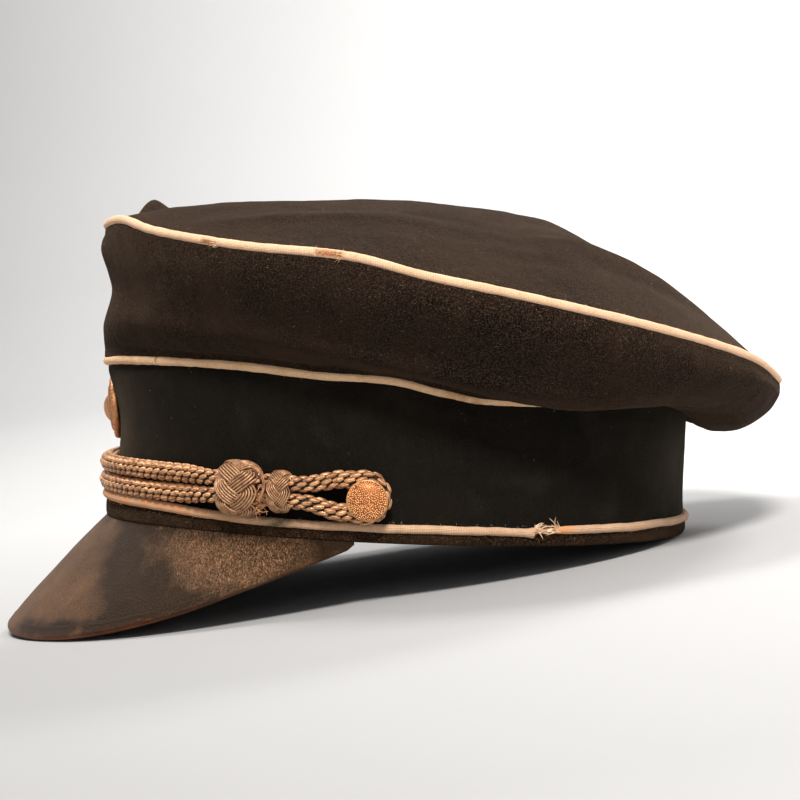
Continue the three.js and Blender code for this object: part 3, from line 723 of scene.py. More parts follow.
def piping_wool(name, pale, shade_colour, soil):
    """Ribbed cream cloth round a cord: torn places show the brown cord inside."""
    surface, tree, shader = new_surface(
        name, Roughness=0.9, Sheen_Weight=0.1, Sheen_Roughness=0.4, Specular_IOR_Level=0.1
    )
    here = object_place(tree)
    along = map_place(tree)
    ribs = stripes(tree, along, 0.55, "X", 0.8)
    cross_ribs = stripes(tree, along, 0.5, "Y", 0.6)
    weave = times(tree, ribs, cross_ribs)
    blotches = speckle(tree, here, 5, 4, 0.65)
    grains = speckle(tree, here, 0.55, 3, 0.7)
    clean = ramp(tree, weave, (0.0, shade_colour), (0.3, pale))
    mottled = patched(tree, clean, shade_colour, blotches, 0.44, 0.66, 0.55)
    spotted = patched(tree, mottled, soil, grains, 0.56, 0.7, 0.55)
    worn = times(tree, mark(tree, "stain"), level(tree, grains, 0.3, 0.6, 0.55, 1))
    stained = blend(tree, worn, spotted, soil)
    green = times(tree, mark(tree, "moss"), level(tree, grains, 0.3, 0.5, 0.35, 1))
    mossy = blend(tree, green, stained, tone(98, 88, 58))
    torn = ramp(tree, grains, (0.35, tone(120, 70, 42)), (0.62, tone(214, 150, 104)))
    feed(tree, shader, Base_Color=blend(tree, mark(tree, "tear"), mossy, torn))
    relief(tree, shader, (blotches, 0.25), (weave, 0.16), (grains, 0.25))
    return surface


def band_cloth(name):
    """Dense badge cloth on a stiff band: nearly black, with a short pile that shows green-grey."""
    surface, tree, shader = new_surface(
        name, Roughness=0.95, Sheen_Weight=0.12, Sheen_Roughness=0.3, Sheen_Tint=tone(208, 184, 156),
        Specular_IOR_Level=0.04,
    )
    here = object_place(tree)
    pile = speckle(tree, here, 0.42, 4, 0.7)
    upright = speckle(tree, object_place(tree, (1, 1, 0.14)), 1.6, 3, 0.6)
    clouds = speckle(tree, here, 24, 3, 0.6)
    fibre = speckle(tree, object_place(tree, (1, 0.4, 1)), 0.3, 2, 0.6, 0.9)
    ground = ramp(tree, pile, (0.34, tone(9, 8, 7)), (0.66, tone(28, 25, 21)))
    streaked = patched(tree, ground, tone(32, 30, 25), upright, 0.5, 0.75, 0.25)
    aged = patched(tree, streaked, tone(30, 25, 18), clouds, 0.46, 0.72, 0.4)
    specks = level(tree, fibre, 0.68, 0.78, 0, 0.35)
    dusty = blend(tree, specks, aged, tone(82, 72, 56))
    rubbed = times(tree, mark(tree, "rub"), level(tree, pile, 0.38, 0.62, 0.2, 1))
    feed(tree, shader, Base_Color=blend(tree, rubbed, dusty, tone(60, 55, 44)))
    relief(tree, shader, (pile, 0.22), (upright, 0.05))
    return surface


def leather(name):
    """Lacquered leather gone brown: crazed towards the side, worn red-brown along its edge, with painted
    highlights and painted shadow.
    """
    surface, tree, shader = new_surface(name, Specular_Tint=tone(255, 204, 158))
    here = object_place(tree)
    clouds = speckle(tree, here, 22, 3, 0.55)
    mottle = speckle(tree, here, 2.6, 5, 0.65)
    crackle = cells(tree, object_place(tree, (1, 1.3, 1)), 1.4, "DISTANCE_TO_EDGE")
    hair_lines = speckle(tree, object_place(tree, (1, 2.0, 0.8)), 1.0, 3, 0.65, 1.6)
    pores = speckle(tree, here, 0.5, 2, 0.5)
    crazed = mark(tree, "grain")
    ground = ramp(tree, clouds, (0.36, tone(32, 22, 14)), (0.62, tone(48, 33, 22)))
    browned = patched(tree, ground, tone(70, 49, 33), mottle, 0.42, 0.66, 0.5)
    # Painted highlight: the leather is paler where the light is caught.
    faded_and_highlighted = blend(tree, mark(tree, "fade"), browned, tone(118, 86, 62))
    valleys = times(tree, crazed, level(tree, crackle, 0.02, 0.2, 0.85, 0))
    cracked = blend(tree, valleys, faded_and_highlighted, tone(30, 19, 12))
    # Painted highlight: bright glints on the crests of the crazed grain.
    painted_glints = times(tree, crazed, level(tree, hair_lines, 0.49, 0.63, 0, 0.84))
    raised = blend(tree, painted_glints, cracked, tone(200, 150, 111))
    darkened = blend(tree, mark(tree, "shadow"), raised, tone(22, 14, 9))
    feed(tree, shader, Base_Color=blend(tree, mark(tree, "edge"), darkened, tone(92, 46, 25)))
    dull = math_node(tree, "MULTIPLY_ADD", crazed, -0.2, 0.52)
    feed(tree, shader, Roughness=math_node(tree, "MULTIPLY_ADD", mottle, 0.1, dull))
    feed(tree, shader, Specular_IOR_Level=math_node(tree, "MULTIPLY_ADD", crazed, 0.4, 0.25))
    swollen = times(tree, crazed, level(tree, crackle, 0.0, 0.3))
    drawn = times(tree, crazed, hair_lines)
    relief(tree, shader, (swollen, 0.5), (drawn, 1.4), (pores, 0.08))
    return surface


def bullion(name, dark, bright):
    """Fine tarnished wire: each strand is a flat bundle, with painted shade between its wires and in the
    hollows of its coils.
    """
    surface, tree, shader = new_surface(name, Roughness=0.35, Metallic=0.34)
    here = object_place(tree)
    winding = stripes(tree, map_place(tree), 0.6, "Y")
    tarnish = speckle(tree, here, 2.0, 3, 0.6)
    strand = mark(tree, "tint")
    metal = patched(tree, bright, dark, tarnish, 0.4, 0.68, 0.8)
    varied = patched(tree, metal, dark, strand, 0, 1, 0.3)
    # Painted shade: darker between the wires of each winding.
    groove_shaded = blend(tree, level(tree, winding, 0, 0.5, 0.6, 0), varied, dark)
    coiled = speckle(tree, here, 0.42, 2, 0.6)
    # Painted shade: darker in the low places of the coiled relief.
    feed(tree, shader, Base_Color=blend(tree, level(tree, coiled, 0.36, 0.54, 0.32, 0), groove_shaded, dark))
    feed(tree, shader, Roughness=level(tree, tarnish, 0.35, 0.7, 0.28, 0.5))
    relief(tree, shader, (winding, 0.05), (coiled, 0.12))
    return surface


def brass(name, bright, dark, grain):
    """Stamped metal with a worn gilt finish, darker in its hollows."""
    surface, tree, shader = new_surface(name, Roughness=0.42, Metallic=0.85)
    here = object_place(tree)
    tarnish = speckle(tree, here, 1.8, 4, 0.6)
    fine = speckle(tree, here, grain, 2, 0.5)
    metal = ramp(tree, tarnish, (0.3, blended(bright, dark, 0.5)), (0.6, bright))
    hollow = blend(tree, mark(tree, "hollow"), metal, dark)
    feed(tree, shader, Base_Color=hollow)
    feed(tree, shader, Roughness=level(tree, tarnish, 0.3, 0.7, 0.32, 0.52))
    relief(tree, shader, (fine, 0.04))
    return surface


def thread(name, dark, pale):
    surface, tree, shader = new_surface(name, Roughness=0.85)
    strands = speckle(tree, object_place(tree), 2, 2)
    feed(tree, shader, Base_Color=ramp(tree, strands, (0.35, dark), (0.65, pale)))
    relief(tree, shader, (speckle(tree, object_place(tree), 0.1), 0.02))
    return surface


CROWN_WOOL = wool("crown_wool", tone(7, 5, 3), tone(16, 11, 8), tone(56, 42, 32), tone(176, 152, 130), 0.12)
CROWN_PIPING = piping_wool("cream_piping", tone(246, 212, 180), tone(222, 174, 134), tone(188, 128, 84))
BAND_PIPING = piping_wool("tan_piping", tone(255, 222, 180), tone(232, 182, 136), tone(160, 106, 66))
LOW_PIPING = piping_wool("soiled_piping", tone(228, 196, 166), tone(188, 148, 114), tone(222, 152, 100))
BAND_CLOTH = band_cloth("band_cloth")
WELT_CLOTH = wool("welt_cloth", tone(8, 6, 4), tone(16, 11, 8), tone(66, 47, 31), tone(206, 176, 140), 0.08)
PEAK_LEATHER = leather("peak_leather")
CORD_BULLION = bullion("cord_bullion", tone(98, 48, 22), tone(254, 196, 142))
KNOT_BULLION = bullion("knot_bullion", tone(104, 54, 30), tone(255, 208, 156))
# The cord has a real core, but its nearly black colour is painted shade seen between the links and wires.
SHADED_CORD_CORE = thread("cord_core", tone(20, 11, 6), tone(40, 24, 14))
BUTTON_METAL = brass("button_brass", tone(244, 186, 130), tone(158, 98, 58), 0.34)
COCKADE_METAL = brass("cockade_brass", tone(206, 146, 102), tone(104, 66, 42), 0.4)
CREAM_THREAD = thread("cream_thread", tone(206, 160, 120), tone(244, 214, 182))
LINT_THREAD = thread("lint_thread", tone(84, 70, 56), tone(150, 132, 112))


# ---------------------------------------------------------------- growing repeats


def new_growth(name, **inputs):
    """A geometry tree with named inputs; each is given by its kind of socket."""
    tree = bpy.data.node_groups.new(name, "GeometryNodeTree")
    tree.interface.new_socket("Geometry", in_out="INPUT", socket_type="NodeSocketGeometry")
    for label, kind in inputs.items():
        tree.interface.new_socket(label.replace("_", " "), in_out="INPUT", socket_type="NodeSocket" + kind)
    tree.interface.new_socket("Geometry", in_out="OUTPUT", socket_type="NodeSocketGeometry")
    return tree, tree.nodes.new("NodeGroupInput")


def close_growth(tree, source, geometry):
    """Ends a tree: real meshes with their surface."""
    real = add(tree, "GeometryNodeRealizeInstances", {"Geometry": geometry})
    smooth = add(tree, "GeometryNodeSetShadeSmooth", {"Geometry": out(real)})
    painted = add(
        tree, "GeometryNodeSetMaterial", {"Geometry": out(smooth), "Material": out(source, "Material")}
    )
    tree.links.new(out(painted), tree.nodes.new("NodeGroupOutput").inputs["Geometry"])


def random_value(tree, low, high, seed):
    node = add(tree, "FunctionNodeRandomValue", {"Min": low, "Max": high, "Seed": seed})
    return next(socket for socket in node.outputs if socket.enabled)


def kept_value(tree, name, kind="FLOAT"):
    return out(add(tree, "GeometryNodeInputNamedAttribute", {"Name": name}, data_type=kind))


def turn_about(tree, axis, angle):
    return out(add(tree, "FunctionNodeAxisAngleToRotation", {"Axis": axis, "Angle": angle}))


def turned_by(tree, rotation, further):
    """A rotation followed by another, about the axes that the first one has turned."""
    feeds = {"Rotation": rotation, "Rotate By": further}
    return out(add(tree, "FunctionNodeRotateRotation", feeds, rotation_space="LOCAL"))


def copies_on(tree, points, shape, rotation, size, **more):
    """Copies of the shape of an object, one on each point."""
    copied = add(tree, "GeometryNodeObjectInfo", {"Object": shape})
    feeds = {"Points": points, "Instance": out(copied, "Geometry"), "Rotation": rotation, "Scale": size}
    return out(add(tree, "GeometryNodeInstanceOnPoints", feeds | more))


def tinted(tree, instances, seed):
    """Gives each instance a random value that its surface reads."""
    feeds = {"Geometry": instances, "Name": "tint", "Value": random_value(tree, 0.0, 1.0, seed)}
    return out(add(tree, "GeometryNodeStoreNamedAttribute", feeds, domain="INSTANCE"))


def link_growth():
    """Sets one link of the braid on every other point of a tube, in line with the tube."""
    tree, source = new_growth("braid_links", Link="Object", Tilt="Float", Seed="Int", Material="Material")
    seed = out(source, "Seed")
    feeds = {"Vector": kept_value(tree, "away", "FLOAT_VECTOR")}
    facing = add(tree, "FunctionNodeAlignRotationToVector", feeds, axis="Z")
    feeds = {"Rotation": out(facing), "Vector": kept_value(tree, "run", "FLOAT_VECTOR")}
    lying = add(tree, "FunctionNodeAlignRotationToVector", feeds, axis="X", pivot_axis="Z")
    swing = times(tree, out(source, "Tilt"), random_value(tree, 0.7, 1.3, seed))
    tilted = turned_by(tree, out(lying), turn_about(tree, (0, 0, 1), swing))
    every_other = kept_value(tree, "stagger", "BOOLEAN")
    size = kept_value(tree, "size")
    links = copies_on(tree, out(source, "Geometry"), out(source, "Link"), tilted, size, Selection=every_other)
    close_growth(tree, source, tinted(tree, links, seed))
    return tree


def wire_growth():
    """Round wires along lines: girth thins a line's ends."""
    tree, source = new_growth("wires", Radius="Float", Sides="Int", Seed="Int", Material="Material")
    line = add(tree, "GeometryNodeMeshToCurve", {"Mesh": out(source, "Geometry")})
    feeds = {"Resolution": out(source, "Sides"), "Radius": out(source, "Radius")}
    profile = add(tree, "GeometryNodeCurvePrimitiveCircle", feeds)
    girth = kept_value(tree, "girth")
    feeds = {"Curve": out(line), "Profile Curve": out(profile), "Scale": girth, "Fill Caps": True}
    close_growth(tree, source, out(add(tree, "GeometryNodeCurveToMesh", feeds)))
    return tree


def scatter_growth():
    """Scatters copies of one shape over a surface, turned and sized at random."""
    tree, source = new_growth(
        "scatter", Shape="Object", Spacing="Float", Density="Float", Lean="Float", Smallest="Float",
        Largest="Float", Seed="Int", Material="Material",
    )
    feeds = {
        "Mesh": out(source, "Geometry"),
        "Distance Min": out(source, "Spacing"),
        "Density Max": out(source, "Density"),
        "Density Factor": kept_value(tree, "cover"),
        "Seed": out(source, "Seed"),
    }
    points = add(tree, "GeometryNodeDistributePointsOnFaces", feeds, distribute_method="POISSON")
    spin = turn_about(tree, (0, 0, 1), random_value(tree, 0.0, 2 * math.pi, 11))
    tip_over = times(tree, out(source, "Lean"), random_value(tree, -1.0, 1.0, 12))
    leaning = turned_by(tree, spin, turn_about(tree, (0, 1, 0), tip_over))
    rotation = turned_by(tree, out(points, "Rotation"), leaning)
    size = random_value(tree, out(source, "Smallest"), out(source, "Largest"), 13)
    copies = copies_on(tree, out(points, "Points"), out(source, "Shape"), rotation, size)
    close_growth(tree, source, tinted(tree, copies, out(source, "Seed")))
    return tree


def grown(name, base, tree, **values):
    """The plain mesh that a tree makes of its base, which is then removed."""
    modifier = base.modifiers.new("growth", "NODES")
    modifier.node_group = tree
    for item in tree.interface.items_tree:
        key = item.name.replace(" ", "_")
        if item.in_out == "INPUT" and key in values:
            modifier[item.identifier] = values[key]
    bpy.context.view_layer.update()
    evaluated = base.evaluated_get(bpy.context.evaluated_depsgraph_get())
    mesh = bpy.data.meshes.new_from_object(evaluated)
    base.modifiers.clear()
    bpy.data.objects.remove(base)
    mesh.name = name
    return shown(name, mesh)


def line_base(name, lines, closed=False, girths=None):
    """A mesh of loose lines, each a row of points in the cap's frame, for wires to follow."""
    points, edges, girth = [], [], []
    for k, line in enumerate(lines):
        start = len(points)
        count = len(line)
        points.extend(to_row(line).tolist())
        edges.extend((start + i, start + i + 1) for i in range(count - 1))
        if closed:
            edges.append((start + count - 1, start))
        girth.extend(girths[k] if girths is not None else [1.0] * count)
    mesh = bpy.data.meshes.new(name)
    mesh.from_pydata(points, edges, [])
    keep_values(mesh, "girth", girth)
    return shown(name, mesh)


LINKS = link_growth()
WIRES = wire_growth()
SCATTER = scatter_growth()


def turned_shape(name, rows, sides):
    """Small round shape whose rows are (distance along, radius, radius across) in millimetres."""
    angle = np.radians(np.arange(sides) * FULL_TURN / sides)
    loops = [np.stack([np.full(sides, along), wide * np.cos(angle), deep * np.sin(angle)], -1)
             for along, wide, deep in rows]
    points = np.concatenate(loops) * MM
    faces = []
    for i in range(len(rows) - 1):
        for j in range(sides):
            k = (j + 1) % sides
            faces.append((i * sides + j, i * sides + k, (i + 1) * sides + k, (i + 1) * sides + j))
    faces.append(tuple(range(sides))[::-1])
    faces.append(tuple((len(rows) - 1) * sides + j for j in range(sides)))
    mesh = bpy.data.meshes.new(name)
    mesh.from_pydata(points.tolist(), [], faces)
    distances = mesh.uv_layers.new(name="distances")
    for loop in mesh.loops:
        spot = mesh.vertices[loop.vertex_index].co
        distances.data[loop.index].uv = (spot.x, spot.y)
    reworked(mesh, lambda m: bmesh.ops.recalc_face_normals(m, faces=m.faces))
    shape = shown(name, mesh)
    shape.hide_render = True
    return shape


# ---------------------------------------------------------------- camera, stage and light

CAMERA_AT = (1000, -0.05, 102)
CAMERA_AIM = (0, -0.05, 42)
CAMERA_LENS = 127.35
CAMERA_SENSOR = 36
CAMERA_ROLL = 2.2


def make_camera():
    camera = bpy.data.objects.new("camera", bpy.data.cameras.new("camera"))
    camera.data.lens = CAMERA_LENS
    camera.data.sensor_width = CAMERA_SENSOR
    camera.data.clip_start = 0.05
    camera.data.clip_end = 50
    forward = (Vector(CAMERA_AIM) - Vector(CAMERA_AT)).normalized()
    level_right = forward.cross(Vector((0, 0, 1))).normalized()
    level_up = level_right.cross(forward)
    roll = math.radians(CAMERA_ROLL)
    right = level_right * math.cos(roll) + level_up * math.sin(roll)
    up = level_up * math.cos(roll) - level_right * math.sin(roll)
    turn = TIP @ Matrix((right, up, -forward)).transposed()
    camera.matrix_world = Matrix.Translation(to_row(CAMERA_AT)) @ turn.to_4x4()
    bpy.context.scene.collection.objects.link(camera)
    bpy.context.scene.camera = camera


BOWL_FLOOR = 1.6
BOWL_CURVE = 1.4
BOWL_RIM = 3.4
BOWL_SIDES = 96


def make_stage():
    """A pale floor that rises into a round wall far off, so that no horizon shows."""
    profile = [(0.0, 0.0), (0.5, 0.0), (BOWL_FLOOR, 0.0)]
    for step in range(1, 13):
        angle = math.radians(90 * step / 12)
        profile.append((BOWL_FLOOR + BOWL_CURVE * math.sin(angle), BOWL_CURVE * (1 - math.cos(angle))))
    profile.append((BOWL_FLOOR + BOWL_CURVE, BOWL_RIM))
    angle = np.radians(np.arange(BOWL_SIDES) * FULL_TURN / BOWL_SIDES)
    points = [(0, 0, 0)]
    for radius, height in profile[1:]:
        points.extend(zip(radius * np.cos(angle), radius * np.sin(angle), np.full(BOWL_SIDES, height)))
    faces = [(0, 1 + j, 1 + (j + 1) % BOWL_SIDES) for j in range(BOWL_SIDES)]
    for i in range(len(profile) - 2):
        near, far = 1 + i * BOWL_SIDES, 1 + (i + 1) * BOWL_SIDES
        for j in range(BOWL_SIDES):
            k = (j + 1) % BOWL_SIDES
            faces.append((near + j, far + j, far + k, near + k))
    mesh = bpy.data.meshes.new("studio_floor")
    mesh.from_pydata([tuple(map(float, point)) for point in points], [], faces)
    mesh.shade_smooth()
    surface, tree, shader = new_surface("studio_paper", Roughness=1.0, Specular_IOR_Level=0.0)
    here = object_place(tree)
    paper = speckle(tree, here, 400, 2)
    split = add(tree, "ShaderNodeSeparateXYZ", {0: here})
    greys = lambda *stops: [(spot, (value, value, value, 1)) for spot, value in stops]
    nearby = level(tree, out(split, "X"), -0.4, 1.6)
    aside = level(tree, out(split, "Y"), -1.4, 1.4)
    lengthwise = ramp(tree, nearby, *greys((0, 0.53), (0.4, 0.32), (1, 0.36)))
    sideways = ramp(tree, aside, *greys((0, 0.1), (0.34, 0), (0.66, 0.4), (1, 0.3)))
    uneven = math_node(tree, "MULTIPLY_ADD", paper, 0.02, -0.2)
    paleness = math_node(tree, "ADD", math_node(tree, "ADD", lengthwise, sideways), uneven)
    feed(tree, shader, Base_Color=ramp(tree, paleness, (0, (0, 0, 0, 1)), (1, (1, 1.005, 1.02, 1))))
    mesh.materials.append(surface)
    floor = shown("studio_floor", mesh)
    floor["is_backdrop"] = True


LAMP_AIM = (0, 0, 0.08)
# name, place in metres, width of the disc in metres, watts and colour
LAMPS = (
    ("key", (2.2, 0.3, 2.4), 0.7, 128, (1, 0.96, 0.91)),
    ("top", (-0.75, -1.0, 2.8), 0.9, 52, (1, 0.97, 0.93)),
    ("back", (-2.0, 1.4, 2.1), 1.0, 56, (1, 0.98, 0.95)),
)
SKY_COLOUR = (1, 0.985, 0.97, 1)
SKY_STRENGTH = 0.62


def area_light(name, at, size, watts, colour):
    light = bpy.data.lights.new(name, "AREA")
    light.shape = "DISK"
    light.size = size
    light.energy = watts
    light.color = colour
    lamp = bpy.data.objects.new(name, light)
    lamp.location = at
    lamp.rotation_euler = (Vector(LAMP_AIM) - Vector(at)).to_track_quat("-Z", "Y").to_euler()
    bpy.context.scene.collection.objects.link(lamp)


def make_light():
    world = bpy.data.worlds.new("studio_air")
    world.use_nodes = True
    sky = world.node_tree.nodes["Background"]
    sky.inputs["Color"].default_value = SKY_COLOUR
    sky.inputs["Strength"].default_value = SKY_STRENGTH
    bpy.context.scene.world = world
    for lamp in LAMPS:
        area_light(*lamp)
    bpy.context.scene.view_settings.view_transform = "Standard"


make_camera()
make_stage()
make_light()


# ---------------------------------------------------------------- crown

SIDE_ROWS = (2, 10, 12, 12, 10, 6, 4, 3, 3)
HEM_END = 108
PANEL_ENDS = np.array([0, 0.12, 0.25, 0.4, 0.6, 0.9])
TOP_RINGS = 84
TOP_CROWDING = 1.25
TOP_EDGE_GAP = 0.35
FOLDS_FADE = 8
CREASES_FADE = 26


def side_lines(at):
    """Outer lines of the crown's side, from under the rim piping to the hem on the band's."""
    rim = pair_around(CROWN_SIDE, "rim", at)
    seam = seam_at(at)
    tucked = rim + (0.4, -0.8)
    start = rim + (1.0, -1.85)
    folds = [pair_around(CROWN_SIDE, name, at) for name in ("belly", "crease", "roll", "tuck", "rise")]
    wrap = read_around(CROWN_SIDE, "wrap", at)
    hem = []
    for share in (0, 0.5, 1):
        angle = np.radians(wrap + (HEM_END - wrap) * share)
        hem.append(seam + PIPING_RADIUS * np.stack([np.cos(angle), np.sin(angle)], -1))
    points = np.stack([tucked, start, *folds, *hem], -2)
    return rounded(points, SIDE_ROWS)


def thickened(lines, thickness):
    """Lines of pairs with their inner side, as closed loops."""
    run = np.gradient(lines, axis=-2)
    run /= np.maximum(np.linalg.norm(run, axis=-1, keepdims=True), TINY)
    inner = lines + thickness * np.stack([run[..., 1], -run[..., 0]], -1)
    return np.concatenate([lines, inner[..., ::-1, :]], -2)


def crown_panel(name, start, end, seed):
    """One panel of the crown's side, turned in at its two seams."""
    between = degrees_between(start + 1.4, end - 1.4, 0.7)
    at = np.concatenate([start + PANEL_ENDS, between, (end - PANEL_ENDS)[::-1]])
    lines = side_lines(at)
    rings = loops_at(at, thickened(lines, CLOTH))
    rows = lines.shape[1]
    normal = ring_normals(rings, False)[:, :rows]
    face = rings[:, :rows]
    down = np.cumsum(np.linalg.norm(np.diff(lines, axis=1, prepend=lines[:, :1]), axis=-1), 1)
    to_end = np.minimum(at - start, end - at)[:, None] / degrees_per_mm(90, 20)
    row = np.arange(rows)
    free = ease(2, 7, row) * ease(rows - 1, rows - 9, row)
    under_rim = bump(down - 2.4, 1.1)
    gathers = lumps(np.stack([at[:, None] * 1.6 + 0 * down, down * 0.22, 0 * down], -1), 2.6, seed, 2)
    fine = lumps(face, 9, seed + 3, 3)
    broad = lumps(face, 30, seed + 5, 2)
    lift = free * (0.7 * broad + 0.28 * fine)
    lift += free * gathers * (0.22 * np.exp(-down / 7) + 0.1)
    lift -= 0.3 * under_rim
    lift -= 0.3 * bump(to_end, 0.45) + 0.06 * bump(to_end - 2.2, 1.2)
    rings[:, :rows] += normal * lift[..., None]
    rub = 0.8 * np.exp(-down / 3.5) + 0.06 * bump(to_end, 2.0) + 0.1 * ease(0.1, 0.6, broad)
    marks = np.zeros(rings.shape[:2])
    marks[:, :rows] = np.clip(rub, 0, 1)
    piece = body(f"{name}_cloth", rings, False, CROWN_WOOL, {"rub": marks})
    return settle(piece, "crown_wool", name)


def fold_height(beside, beyond, turn, long, wide, lift):
    """Height of one fold at two distances from its middle; turn is the fold's own direction."""
    turn = math.radians(turn)
    along = (beside * math.cos(turn) + beyond * math.sin(turn)) / long
    across = (beyond * math.cos(turn) - beside * math.sin(turn)) / wide
    return lift * np.exp(-along * along - across * across)


def ridges(rows, x, y):
    """Height that a table of folds gives at places on the top."""
    total = np.zeros_like(x)
    for fold_x, fold_y, *shape in zip(*rows.values()):
        total += fold_height(x - fold_x, y - fold_y, *shape)
    return total


def crown_top():
    """The top falls from its crest to the rim, where it dips behind the piping."""
    at = degrees_round(1)
    rim = pair_around(CROWN_SIDE, "rim", at)
    edge = place(at, rim[:, 0] - PIPING_RADIUS - TOP_EDGE_GAP, 0)
    crest = lambda y: smooth_through(CREST["y"], CREST["up"], y)
    rim_drop = rim[:, 1] + 1 - crest(edge[:, 1])
    share = 1 - np.linspace(0, 1, TOP_RINGS) ** TOP_CROWDING
    centre = np.array(TOP_CENTRE)
    flat = centre + (edge[:, None] - centre) * share[None, :, None]
    x, y = flat[..., 0], flat[..., 1]
    free = 1 - share**FOLDS_FADE
    up = crest(y) + rim_drop[:, None] * share**TOP_ROUNDNESS + ridges(FOLDS, x, y) * free
    up += ridges(CREASES, x, y) * (1 - share**CREASES_FADE)
    from_rim = (1 - share) * np.linalg.norm(edge - centre, axis=1)[:, None]
    spots = np.stack([x, y, 0 * x], -1)
    gathers = lumps(np.stack([0 * x + at[:, None] * 1.6, from_rim * 0.3, 0 * x], -1), 3, 31, 2)
    up += free * (0.55 * lumps(spots, 34, 41, 2) + 0.22 * lumps(spots, 9, 43, 3))
    up += ease(0, 1.5, from_rim) * gathers * 0.25 * np.exp(-from_rim / 6)
    up -= 0.35 * bump(from_rim - 0.6, 1.0)
    flat[..., 2] = up
    under_piping = ((0.2, 0.2), (1.1, 0.85))
    tucked = [place(at, rim[:, 0] - inward, rim[:, 1] + height) for inward, height in under_piping]
    upper = np.concatenate([np.stack(tucked, 1), flat], 1)
    lower = upper.copy()
    lower[..., 2] -= CLOTH
    rings = np.concatenate([upper, lower[:, ::-1]], 1)
    columns = upper.shape[1]
    marks = np.zeros(rings.shape[:2])
    rub = 0.85 * np.exp(-from_rim / 5) + 0.2 * ease(0, 1.6, ridges(CREASES, x, y))
    marks[:, len(tucked) : columns] = np.clip(rub, 0, 1)
    piece = body("crown_top_cloth", rings, True, CROWN_WOOL, {"rub": marks}, merge=True)
    settle(piece, "crown_wool", "crown_top")
    return upper


# ---------------------------------------------------------------- pipings

PIPING_SIDES = 20
SWELL_AT = 22
SWELL_WIDE = 30
TEAR_DEPTH = 0.42
LIP_HEIGHT = 0.16


def piping(name, at, middle, radius, surface, seed, tears, stains, flare=None, swell=0):
    """Cloth-covered cord: slightly uneven, and open where the cover is torn. It closes on itself
    if it has no gap, and so no flare at its ends."""
    wraps = flare is None
    sides = PIPING_SIDES
    angle = 2 * np.pi * (np.arange(sides) + 0.5) / sides
    spots = np.stack([np.cos(angle), np.sin(angle)], -1)
    straight = place(at, middle[:, 0], middle[:, 1])
    uneven = lumps(straight, 5, seed, 2)[:, None] * 0.09
    uneven = uneven + lumps(straight, 1.4, seed + 1, 2)[:, None] * 0.05
    swollen = swell * bump(angle_gap(at, SWELL_AT), SWELL_WIDE)[:, None]
    thick = radius * (1 + uneven + swollen) + np.zeros(sides)
    if not wraps:
        to_start = (at - at[0])[:, None] / 1.1
        to_stop = (at[-1] - at)[:, None] / 1.1
        thick *= 1 + flare[0] * np.exp(-to_start**2) + flare[1] * np.exp(-to_stop**2)
    tear = np.zeros((len(at), sides))
    if tears:
        for tear_at, half, open_share, facing_to, wide in zip(*tears.values()):
            ragged = half * (1 + 0.35 * np.sin(7 * angle + tear_at) + 0.2 * np.sin(13 * angle))
            within = 1 - np.abs(angle_gap(at, tear_at))[:, None] / ragged
            facing = bump(angle_gap(np.degrees(angle), facing_to), wide)
            opened = ease(0, 0.25, within) * ease(0.25, 0.5, facing * open_share)
            lip = bump(within - 0.02, 0.12) * ease(0.2, 0.5, facing)
            thick += LIP_HEIGHT * lip - TEAR_DEPTH * opened
            tear = np.maximum(tear, opened)
    pairs = middle[:, None] + thick[..., None] * spots
    rings = loops_at(at, pairs)
    if not wraps:
        shrink = np.array([0.3, 0.85, 1])
        for k, share in enumerate(shrink):
            for end in (k, -1 - k):
                rings[end] = rings[end].mean(0) + (rings[end] - rings[end].mean(0)) * share
    marks = {"tear": tear}
    for mark_name, stain_at, half, strength in stains:
        spread = strength * bump(angle_gap(at, stain_at), half)[:, None] + np.zeros(sides)
        ragged = np.clip(spread * (1 + 1.2 * lumps(rings, 3, seed + 7, 2)), 0, 1)
        marks[mark_name] = np.maximum(marks.get(mark_name, 0), ragged)
    piece = body(f"{name}_cord", rings, wraps, surface, marks)
    return settle(piece, "piping_wool", name)


def cut_angles(gap, step):
    """Angles round the cap from one end of a gap to the other, closer together at the ends."""
    ends = np.array([0, 0.06, 0.15, 0.3])
    start, end = gap[1], gap[0] + FULL_TURN
    return np.concatenate([start + ends, degrees_between(start + 0.6, end - 0.6, step), (end - ends)[::-1]])


def pipings():
    at = degrees_round(0.5)
    extra = [tear_at + half * np.linspace(-1.5, 1.5, 19) for tear_at, half in zip(TEARS["at"], TEARS["half"])]
    at = np.unique(np.concatenate([at, *extra]).round(3))
    stains = [("stain", 285, 9, 0.4), ("stain", 190, 14, 0.35)]
    rim = pair_around(CROWN_SIDE, "rim", at)
    piping("crown_piping", at, rim, PIPING_RADIUS, CROWN_PIPING, 3, TEARS, stains)
    at = cut_angles(BAND_PIPING_GAP, 0.5)
    stains = [("stain", 102, 5, 0.45), ("stain", 26, 9, 0.3), ("stain", 240, 12, 0.5)]
    piping("band_top_piping", at, seam_at(at), PIPING_RADIUS, BAND_PIPING, 13, None, stains, (0, 0))
    at = cut_angles(LOW_PIPING_GAP, 0.5)
    sag = 0.2 * lumps(place(at, 0, 0), 12, 27, 2) + np.interp(np.mod(at, FULL_TURN), *LOW_PIPING_SAG)
    middle = np.stack([0 * at + LOW_PIPING_REACH, LOW_PIPING_UP + sag], -1)
    stains = [("stain", 24, 32, 0.9), ("moss", 68, 3, 1), ("stain", 123, 2.5, 0.8), ("stain", 330, 24, 0.8)]
    piping(
        "band_bottom_piping", at, middle, LOW_PIPING_RADIUS, LOW_PIPING, 23, None, stains, (-0.22, 0.26), 0.26
    )


# ---------------------------------------------------------------- band and welt

BAND_STEP = 0.75
BAND_FOLDS = table("at long up slope", (99, 9, 44.5, -0.35), (262, 10, 44, 0.3), (148, 12, 40, -0.15))
BAND_DENTS = table("at up", (165, 26), (196, 30))
WELT_SIDES = 28
WELT_SQUARENESS = 0.55


